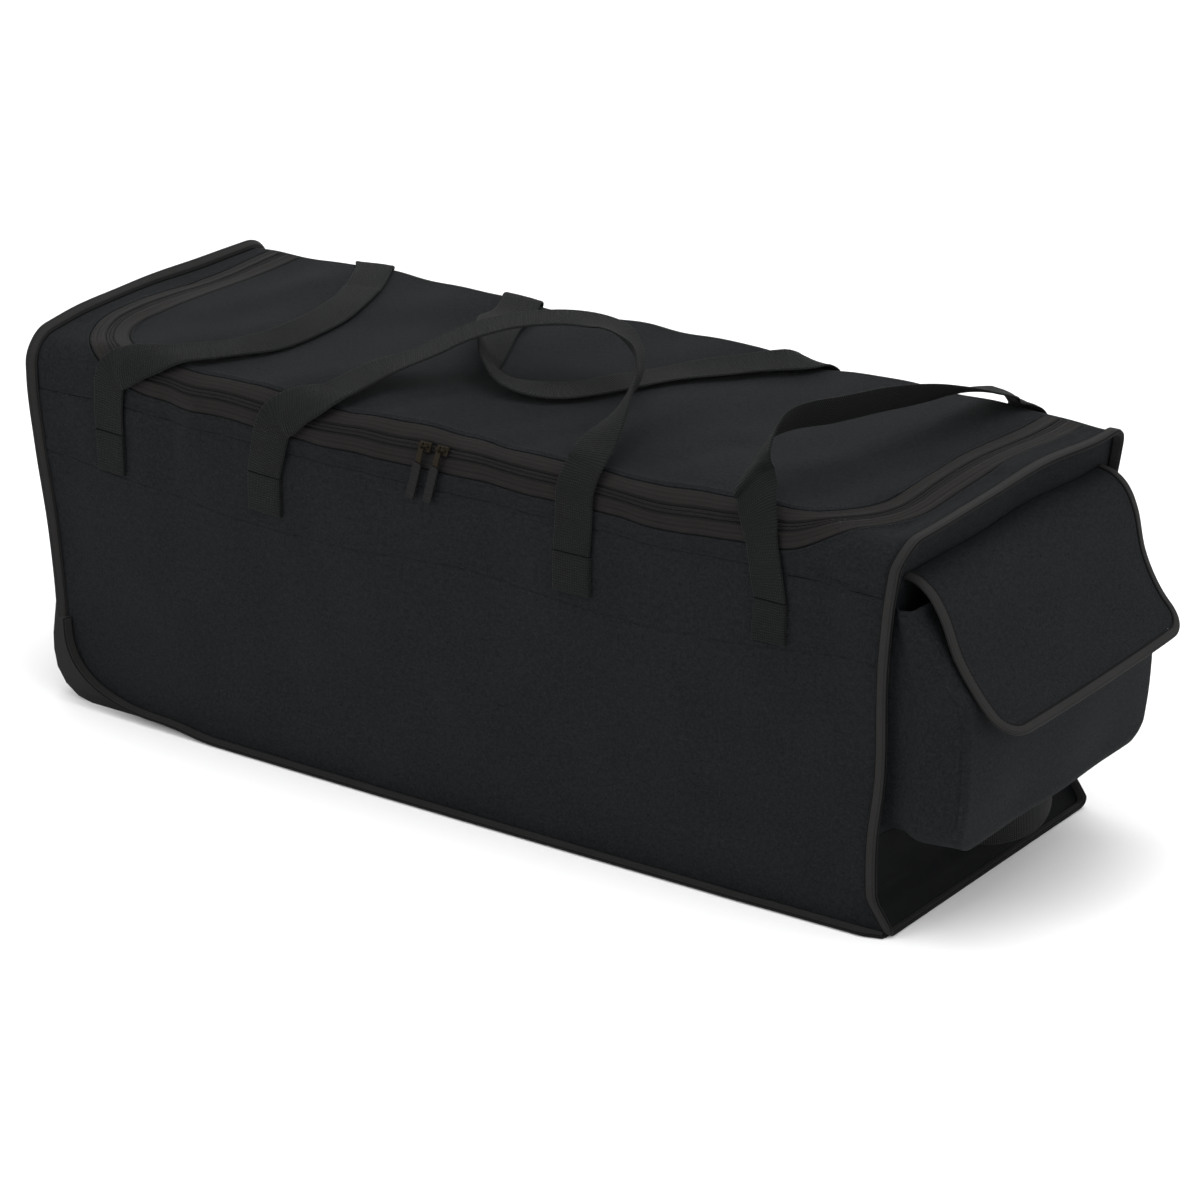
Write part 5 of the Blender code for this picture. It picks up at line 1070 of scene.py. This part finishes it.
def smooth_through(stations, steps):
    """Catmull-Rom curve through rows of numbers."""
    rows = np.array(stations, float)
    padded_rows = np.concatenate([rows[:1], rows, rows[-1:]])
    result = []
    for i in range(len(rows) - 1):
        p, q, r, w = padded_rows[i:i + 4]
        for t in np.arange(steps) / steps:
            result.append(0.5 * (2 * q + (r - p) * t + (2 * p - 5 * q + 4 * r - w) * t * t
                                 + (3 * q - p - 3 * r + w) * t ** 3))
    return np.array(result + [rows[-1]])


def section_place(round_share):
    """Arc length at a place from 0 to 5, one for each face and corner from the front's foot."""
    knots = (0.0, FRONT_ARC_START, TOP_START, HINGE_LINE, BACK_FACE_START, SECTION_END)
    part = min(int(round_share), len(knots) - 2)
    return knots[part] + (knots[part + 1] - knots[part]) * (round_share - part)


def anchor_place(height, side):
    """Arc length at a height on the front or the back."""
    return height if side < 0 else SECTION_END - height


def webbing_piece(name, rings, width):
    """Webbing through rings of points, with its UV map along its middle."""
    uv = uv_places(reach_along(rings[:, 5])[:, None], WEBBING_RING[:, 0] * width)
    tube_piece(name + "_webbing", rings, uv, "webbing", [name])


def make_strap(name, start, run, end, width):
    """Webbing from the top edge of one sewn end to the other."""
    rest = WEBBING_CLEARANCE + WEBBING_THICKNESS / 2
    leave = ANCHOR_TOP + STRAP_END_GAP
    stations = [(start[0], anchor_place(leave, start[1]), 0.0, run[0][-1])]
    stations += [(a * HALF_LENGTH, section_place(p), lift * BAG_HEIGHT, t) for a, p, lift, t in run]
    stations.append((end[0], anchor_place(leave, end[1]), 0.0, run[-1][-1]))
    x, s, lift, twist = smooth_through(stations, STRAP_STEPS).T
    twist = np.radians(twist)
    out = rest + np.maximum(lift, np.abs(np.sin(twist)) * width / 2 * (lift > 0))
    run_line = unit(np.gradient(wrap(x, s, out), axis=0))
    run_x, run_s = np.gradient(x), np.gradient(s)
    straighten = np.linspace(0, 1, STRAP_STEPS)
    run_x[:STRAP_STEPS] *= straighten
    run_x[-STRAP_STEPS:] *= straighten[::-1]
    length = np.hypot(run_x, run_s)
    across_x, across_s = -run_s / length, run_x / length
    normal = wrap_normal(s)
    face = unit(normal - run_line * np.sum(normal * run_line, axis=1)[:, None])
    top = face * np.cos(twist)[:, None] + np.cross(run_line, face) * np.sin(twist)[:, None]
    rings = []
    for share, through in WEBBING_RING:
        t = share * width
        flat = t * np.cos(twist)
        point = wrap(x + across_x * flat, s + across_s * flat, out) + face * (t * np.sin(twist))[:, None]
        rings.append(soften(point + top * (through * WEBBING_THICKNESS)))
    webbing_piece(name, np.stack(rings, 1), width)


# Share across a sewn end and how full it is
SEWN_END_SECTION = ((0.0, 0.0), (0.006, 0.5), (0.025, 0.85), (0.06, 1.0), (0.2, 1.0), (0.35, 1.0), (0.5, 1.0),
                    (0.65, 1.0), (0.8, 1.0), (0.94, 1.0), (0.975, 0.85), (0.994, 0.5), (1.0, 0.0))


def sewn_end(name, x, side, width):
    """Folded webbing end sewn on the face; gives the lines of its box and cross of stitches."""
    low, high = ANCHOR_TOP - ANCHOR_HEIGHT, ANCHOR_TOP
    shares, full = np.array(SEWN_END_SECTION).T
    grid_x, grid_h = np.meshgrid(x + (shares - 0.5) * width, low + (high - low) * shares, indexing="ij")
    s = anchor_place(grid_h, side)
    rise = SEAM_GAP + WEBBING_THICKNESS * (SEWN_EDGE + SEWN_FULL * np.minimum(full[:, None], full))
    outer = soften(wrap(grid_x, s, rise))
    inner = soften(wrap(grid_x, s, SEAM_GAP))
    sheet_piece(name + "_layer", outer, inner, np.stack([grid_h, grid_x], -1), "webbing", [name])
    a, b = x - width / 2 + SEWN_MARGIN, x + width / 2 - SEWN_MARGIN
    c, d = low + SEWN_MARGIN, high - SEWN_MARGIN
    paths = [((a, c), (b, c), (b, d), (a, d), (a, c)), ((a, c), (b, d)), ((b, c), (a, d)),
             ((a, c - SEWN_SECOND_ROW), (b, c - SEWN_SECOND_ROW))]
    lines = []
    for path in paths:
        corners = np.array(path)
        parts = [corners[i] + (corners[i + 1] - corners[i]) * t for i in range(len(corners) - 1)
                 for t in np.linspace(0, 1, 12)[:-1, None]]
        rows = np.array(parts + [corners[-1]])
        over = SEAM_GAP + SEWN_STITCH * WEBBING_THICKNESS
        lines.append(line_on(rows[:, 0], anchor_place(rows[:, 1], side), over))
    return lines


def make_webbing():
    """Cross grips, carry handles and their eight sewn ends."""
    shift = BACK_ANCHOR_SHIFT
    for name, x, run in (("left_cross_grip", LEFT_GRIP_X, LEFT_GRIP_RUN),
                         ("right_cross_grip", RIGHT_GRIP_X, RIGHT_GRIP_RUN)):
        make_strap(name, (x, -1), run, (x + shift, 1), GRIP_WEBBING)
    for name, side, across, run in (("front_carry_handle", -1, 0.0, FRONT_HANDLE_RUN),
                                    ("back_carry_handle", 1, shift, BACK_HANDLE_RUN)):
        ends = [(x + across, side) for x in (HANDLE_LEFT_X, HANDLE_RIGHT_X)]
        make_strap(name, ends[0], run, ends[1], HANDLE_WEBBING)
    lines = []
    for name, x, width in (("left_grip", LEFT_GRIP_X, GRIP_WEBBING),
                           ("handle_left", HANDLE_LEFT_X, HANDLE_WEBBING),
                           ("handle_right", HANDLE_RIGHT_X, HANDLE_WEBBING),
                           ("right_grip", RIGHT_GRIP_X, GRIP_WEBBING)):
        lines += sewn_end(name + "_front_anchor", x, -1, width)
        lines += sewn_end(name + "_back_anchor", x + shift, 1, width)
    stitches("webbing_stitches", lines, pitch=0.0026, length=0.0020, radius=FINE_THREAD)


def end_webbing(name, side, span, height, tall, thickness, bow, droop, power, steps):
    """Horizontal webbing on an end panel, bowed out and drooping in the middle."""
    t = (1 - np.cos(np.linspace(0, math.pi, steps))) / 2
    swell = np.maximum(np.sin(math.pi * t), 0.0) ** power
    share, through = WEBBING_RING.T
    x = HALF_LENGTH + END_WEBBING_GAP + thickness / 2 + (bow * swell)[:, None] + thickness * through
    y = (span[0] + (span[1] - span[0]) * t)[:, None]
    z = height - (droop * swell)[:, None] + tall * share
    webbing_piece(name, soften(np.stack(np.broadcast_arrays(side * x, y, z), -1)), tall)


def make_end_handles():
    """Handles of both ends, each with its two sewn ends."""
    handles = (
        ("left_end_handle", -1, HALF_WIDTH - LEFT_HANDLE_INSET - ANCHOR_HEIGHT - SEAM_GAP, 0.0, ANCHOR_HEIGHT,
         LEFT_HANDLE_HEIGHT, LEFT_HANDLE_WEBBING, LEFT_HANDLE_BOW, LEFT_HANDLE_DROOP, LEFT_HANDLE_SWELL),
        ("haul_handle", 1, HAUL_SPAN / 2, HAUL_SHIFT, HAUL_WEBBING, HAUL_HEIGHT, HAUL_WEBBING, HAUL_BOW,
         HAUL_DROOP, HAUL_SWELL),
    )
    anchor_thickness = END_ANCHOR_LAYERS * WEBBING_THICKNESS
    for name, side, free, shift, ends, height, tall, bow, droop, power in handles:
        span = shift - free, shift + free
        end_webbing(name, side, span, height, tall, WEBBING_THICKNESS, bow, droop, power, 90)
        for label, sign in (("front", -1), ("back", 1)):
            span = sorted((shift + sign * (free + SEAM_GAP), shift + sign * (free + SEAM_GAP + ends)))
            part = name + "_" + label + "_anchor"
            end_webbing(part, side, span, height, tall, anchor_thickness, 0.0, 0.0, power, 12)


# End pocket

def pocket_depth(z):
    """How far the pocket stands out from the end at height z."""
    share = (z - POCKET_BOTTOM) / (POCKET_TOP - POCKET_BOTTOM)
    return POCKET_DEPTH * read_table(POCKET_DEPTH_BY_HEIGHT, share)


def make_pocket_front():
    """Outer panel of the pocket, rounded at its lower corners."""
    half = POCKET_WIDTH / 2
    ys = rounded_span(-half, half, POCKET_CORNER, POCKET_CORNER, 10, 60)
    over = np.maximum(0.0, np.abs(ys) - (half - POCKET_CORNER))
    low = (POCKET_BOTTOM + POCKET_CORNER - np.sqrt(np.maximum(POCKET_CORNER ** 2 - over ** 2, 0.0)))[:, None]
    t = np.linspace(0, 1, 56)
    z = low + (POCKET_TOP - low) * t
    y = np.broadcast_to(ys[:, None], z.shape)
    belly = POCKET_BELLY * (1 - (y / half) ** 2) * np.sin(math.pi * t) ** 2
    ripple = np.sin(y * 42 + 1.1) * ridge(z - POCKET_BOTTOM - POCKET_RIPPLE_RISE, POCKET_RIPPLE)
    ripple += POCKET_WAVE * np.sin(y * 19 + z * 30) * np.sin(math.pi * t)
    edge = ridge(z - low, POCKET_LOW_EDGE) + ridge(half - np.abs(y), POCKET_SIDE_EDGE)
    x = HALF_LENGTH + pocket_depth(z) + belly + ripple * (1 - (y / half) ** 4) - edge
    outer, inner = (soften(np.stack([x - depth, y + POCKET_SHIFT, z], -1)) for depth in (0.0, POCKET_FABRIC))
    uv = np.stack([y, z], -1)
    sheet_piece("pocket_front_cloth", outer, inner, uv, "woven_polyester", ["pocket_front"])


# Folds of the gusset by share of its depth, out from the bag or into it
GUSSET_PLEATS = ((0.0, -0.2), (0.12, -0.8), (0.3, -0.6), (0.45, 0.5), (0.56, 0.9), (0.70, 0.6), (0.88, 0.1),
                 (0.96, -0.1), (1.0, -0.4))
GUSSET_PLEAT_DEPTH = 0.00468


def make_gusset():
    """Folded cloth round the sides and bottom of the pocket."""
    half = POCKET_WIDTH / 2
    turn = quarter(12)[1:]
    down = np.linspace(POCKET_TOP, POCKET_BOTTOM + POCKET_CORNER, 60)
    across = np.linspace(-half + POCKET_CORNER, 0.0, 26)[1:]
    round_y = -half + POCKET_CORNER * (1 - np.cos(turn))
    round_z = POCKET_BOTTOM + POCKET_CORNER * (1 - np.sin(turn))
    y = np.concatenate([np.full_like(down, -half), round_y, across])
    z = np.concatenate([down, round_z, np.full_like(across, POCKET_BOTTOM)])
    ny = np.concatenate([np.full_like(down, -1.0), -np.cos(turn), np.zeros_like(across)])
    nz = np.concatenate([np.zeros_like(down), -np.sin(turn), np.full_like(across, -1.0)])
    y, z = (line[:, None] for line in mirrored(y, z))
    ny, nz = (line[:, None] for line in mirrored(ny, nz))
    shares = np.linspace(0, 1, 44)
    wander = 0.05 * np.sin(z * 26 + y * 12) * np.sin(math.pi * shares)
    folds = read_table(GUSSET_PLEATS, np.clip(shares + wander, 0, 1)) * GUSSET_PLEAT_DEPTH
    out = folds * (0.35 + 0.65 * np.abs(ny)) * (0.75 + 0.25 * np.sin(z * 18))
    depth = pocket_depth(z) - POCKET_FABRIC - POCKET_SEAM
    x = HALF_LENGTH + END_WEBBING_GAP + (depth - END_WEBBING_GAP) * shares
    outer, inner = (soften(np.stack([x, y + POCKET_SHIFT + lift * ny, z + lift * nz], -1))
                    for lift in (out, out - POCKET_FABRIC))
    uv = uv_places(reach_along(np.hstack([y, z]))[:, None], x - HALF_LENGTH)
    sheet_piece("pocket_gusset_cloth", outer, inner, uv, "woven_polyester", ["pocket_gusset"])


def flap_line():
    """Flap profile as fine rows of x and z from the crease to the lower edge, with lengths."""
    start = np.array([HALF_LENGTH + FLAP_GAP, FLAP_CREASE_HEIGHT])
    fine = smooth_through(start + np.array([FLAP_REACH, -FLAP_DROP]) * FLAP_PROFILE, 16)
    return fine, reach_along(fine)


def flap_points(curve, y, t, out):
    """Softened points on the flap at lengths t from the crease, moved outward by out."""
    fine, lengths = curve
    y, t, out = np.broadcast_arrays(y, t, out)
    slope = unit(np.gradient(fine, axis=0))
    x, z, run_x, run_z = (np.interp(t, lengths, line) for line in (*fine.T, *slope.T))
    tilt = FLAP_TILT * (y + FLAP_WIDTH / 2)
    return soften(np.stack([x - run_z * out, y + FLAP_SHIFT, z + run_x * out + tilt], -1))


def make_flap():
    """Pocket flap, bent over from its crease."""
    curve = flap_line()
    length = curve[1][-1]
    half = FLAP_WIDTH / 2 - FLAP_BINDING_WIDTH
    corner = FLAP_CORNER - FLAP_BINDING_WIDTH
    ys = rounded_span(-half, half, corner, corner, 8, 52)
    over = np.maximum(0.0, np.abs(ys) - (half - corner))
    reach = length - FLAP_BINDING_WIDTH - corner + np.sqrt(np.maximum(corner ** 2 - over ** 2, 0.0))
    shares = np.linspace(0, 1, 48)
    t = reach[:, None] * shares
    y = np.broadcast_to(ys[:, None], t.shape)
    pad = FLAP_PAD * np.sin(math.pi * shares) ** 0.5 * (1 - (y / half) ** 6)
    dent = FLAP_DENT * np.sin(y * 24 + 0.6) * np.sin(math.pi * shares) * (1 - (y / half) ** 4)
    outer = flap_points(curve, y, t, FLAP_FABRIC + pad + dent)
    inner = flap_points(curve, y, t, 0.0)
    uv = np.stack([y, t], -1)
    sheet_piece("pocket_flap_cloth", outer, inner, uv, "woven_polyester", ["pocket_flap"])
    make_flap_binding(curve, half + BINDING_GAP, corner + BINDING_GAP)


def make_flap_binding(curve, near, corner):
    """Tape round the flap's two sides and lower edge, folded over its cloth."""
    length = curve[1][-1]
    width = FLAP_BINDING_WIDTH - BINDING_GAP
    middle_y, middle_t = FLAP_WIDTH / 2 - FLAP_CORNER, length - FLAP_CORNER
    down = np.linspace(0.0, middle_t, 44)
    turns = quarter(14)[1:]
    across = np.linspace(middle_y, 0.0, 34)[1:]
    path_y = np.concatenate([np.full_like(down, near), middle_y + corner * np.cos(turns), across])
    path_t = np.concatenate([down, middle_t + corner * np.sin(turns), np.full_like(across, length - width)])
    out_y = np.concatenate([np.ones_like(down), np.cos(turns), np.zeros_like(across)])
    out_t = np.concatenate([np.zeros_like(down), np.sin(turns), np.ones_like(across)])
    path_y, path_t = mirrored(path_y, path_t)
    out_y, out_t = mirrored(out_y, out_t)
    rise = (FLAP_BINDING_THICKNESS - FLAP_FABRIC) / 2
    middle = (FLAP_FABRIC + rise / 2) / 2
    thick = (FLAP_FABRIC + 1.5 * rise) / 2
    section = np.array(BINDING_SECTION)
    share, through = np.concatenate([section, section[::-1] * [1.0, -1.0]]).T
    at_y = path_y[:, None] + out_y[:, None] * width * share
    at_t = np.clip(path_t[:, None] + out_t[:, None] * width * share, 0, length)
    rings = flap_points(curve, at_y, at_t, middle + thick * through)
    uv = uv_places(reach_along(rings[:, 0])[:, None], share * width + BINDING_FACES)
    tube_piece("flap_binding_tape", rings, uv, "binding_tape", ["flap_binding"])
    sewn_y, sewn_t = path_y + out_y * FLAP_STITCH, path_t + out_t * FLAP_STITCH
    line = flap_points(curve, sewn_y, sewn_t, middle + thick)
    above = flap_points(curve, sewn_y, sewn_t, middle + thick + OUTWARD_STEP)
    stitches("flap_stitches", [(line, above - line)], pitch=0.0034)


# Hard pieces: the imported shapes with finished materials

def dress_hard_pieces():
    """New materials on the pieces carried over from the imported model."""
    finishes = {
        "wheel_housing_front": PLASTIC, "wheel_housing_back": PLASTIC,
        "front_wheel_hub": PLASTIC, "back_wheel_hub": PLASTIC,
        "front_wheel_tyre": RUBBER, "back_wheel_tyre": RUBBER,
        "front_wheel_axle": STEEL, "back_wheel_axle": STEEL,
        "zip_slider_left": BRONZE, "zip_slider_right": BRONZE,
        "zip_pull_left": BRONZE, "zip_pull_right": BRONZE,
        "zip_tab_left": RUBBER, "zip_tab_right": RUBBER,
    }
    for name, material in finishes.items():
        mesh = NODES[name].data
        mesh.materials.clear()
        mesh.materials.append(material)


# Surroundings

CAMERA_AZIMUTH = math.radians(34.954)
CAMERA_HEIGHT = math.radians(21.91)
CAMERA_DISTANCE = 4.5
CAMERA_LENS = 146.083
CAMERA_TARGET = (0.05464, 0.0, 0.16277)


def make_camera():
    """Camera at the photograph's viewpoint."""
    data = bpy.data.cameras.new("camera")
    data.lens = CAMERA_LENS
    data.sensor_width = 36.0
    data.clip_end = 100.0
    camera = bpy.data.objects.new("camera", data)
    bpy.context.scene.collection.objects.link(camera)
    back = Vector((math.sin(CAMERA_AZIMUTH) * math.cos(CAMERA_HEIGHT),
                   -math.cos(CAMERA_AZIMUTH) * math.cos(CAMERA_HEIGHT), math.sin(CAMERA_HEIGHT)))
    camera.location = Vector(CAMERA_TARGET) + back * CAMERA_DISTANCE
    camera.rotation_euler = back.to_track_quat("Z", "Y").to_euler()
    bpy.context.scene.camera = camera


def add_light(name, place_at, size, power):
    """Square soft light aimed at the bag."""
    data = bpy.data.lights.new(name, "AREA")
    data.size = size
    data.energy = power
    light = bpy.data.objects.new(name, data)
    light.location = place_at
    light.rotation_euler = (Vector(place_at) - Vector(CAMERA_TARGET)).to_track_quat("Z", "Y").to_euler()
    bpy.context.scene.collection.objects.link(light)


FLOOR_NEAR = 9.0
FLOOR_FAR = 7.0
FLOOR_HALF_WIDTH = 14.0
SWEEP_RADIUS = 2.5
BACKDROP_HEIGHT = 12.0

# Name, place, size and power of each light
LIGHTS = (
    ("top_light", (0.3, 0.2, 3.2), 2.6, 60.0),
    ("front_light", (-1.6, -3.2, 1.9), 2.0, 45.0),
    ("side_light", (3.4, -1.0, 1.6), 1.8, 32.0),
)


def make_surroundings():
    """Pale floor that sweeps up into a backdrop behind the bag, and soft light."""
    turns = quarter(16)
    profile = [(-FLOOR_NEAR, 0.0)]
    profile += [(FLOOR_FAR + SWEEP_RADIUS * math.sin(a), SWEEP_RADIUS * (1 - math.cos(a))) for a in turns]
    profile.append((FLOOR_FAR + SWEEP_RADIUS, BACKDROP_HEIGHT))
    points = [(side * FLOOR_HALF_WIDTH, y, z) for y, z in profile for side in (-1, 1)]
    faces = [(2 * i, 2 * i + 1, 2 * i + 3, 2 * i + 2) for i in range(len(profile) - 1)]
    mesh = bpy.data.meshes.new("floor")
    mesh.from_pydata(points, [], faces)
    mesh.shade_smooth()
    mesh.materials.append(shader_of("floor_look", (0.92, 0.92, 0.92), 0.9, gloss=0.1)[0])
    floor = bpy.data.objects.new("floor", mesh)
    floor.rotation_euler = (0.0, 0.0, CAMERA_AZIMUTH)
    bpy.context.scene.collection.objects.link(floor)
    world = bpy.data.worlds.new("studio")
    world.use_nodes = True
    background = world.node_tree.nodes["Background"]
    background.inputs["Color"].default_value = (1.0, 1.0, 1.0, 1.0)
    background.inputs["Strength"].default_value = 1.0
    bpy.context.scene.world = world
    for name, place_at, size, power in LIGHTS:
        add_light(name, place_at, size, power)
    bpy.context.scene.view_settings.view_transform = "Standard"


make_camera()
make_surroundings()
make_side_panels()
make_upper_band()
make_lid()
make_ends()
make_base()
make_zip()
make_end_bindings()
make_base_bindings()
make_webbing()
make_end_handles()
make_pocket_front()
make_gusset()
make_flap()
dress_hard_pieces()
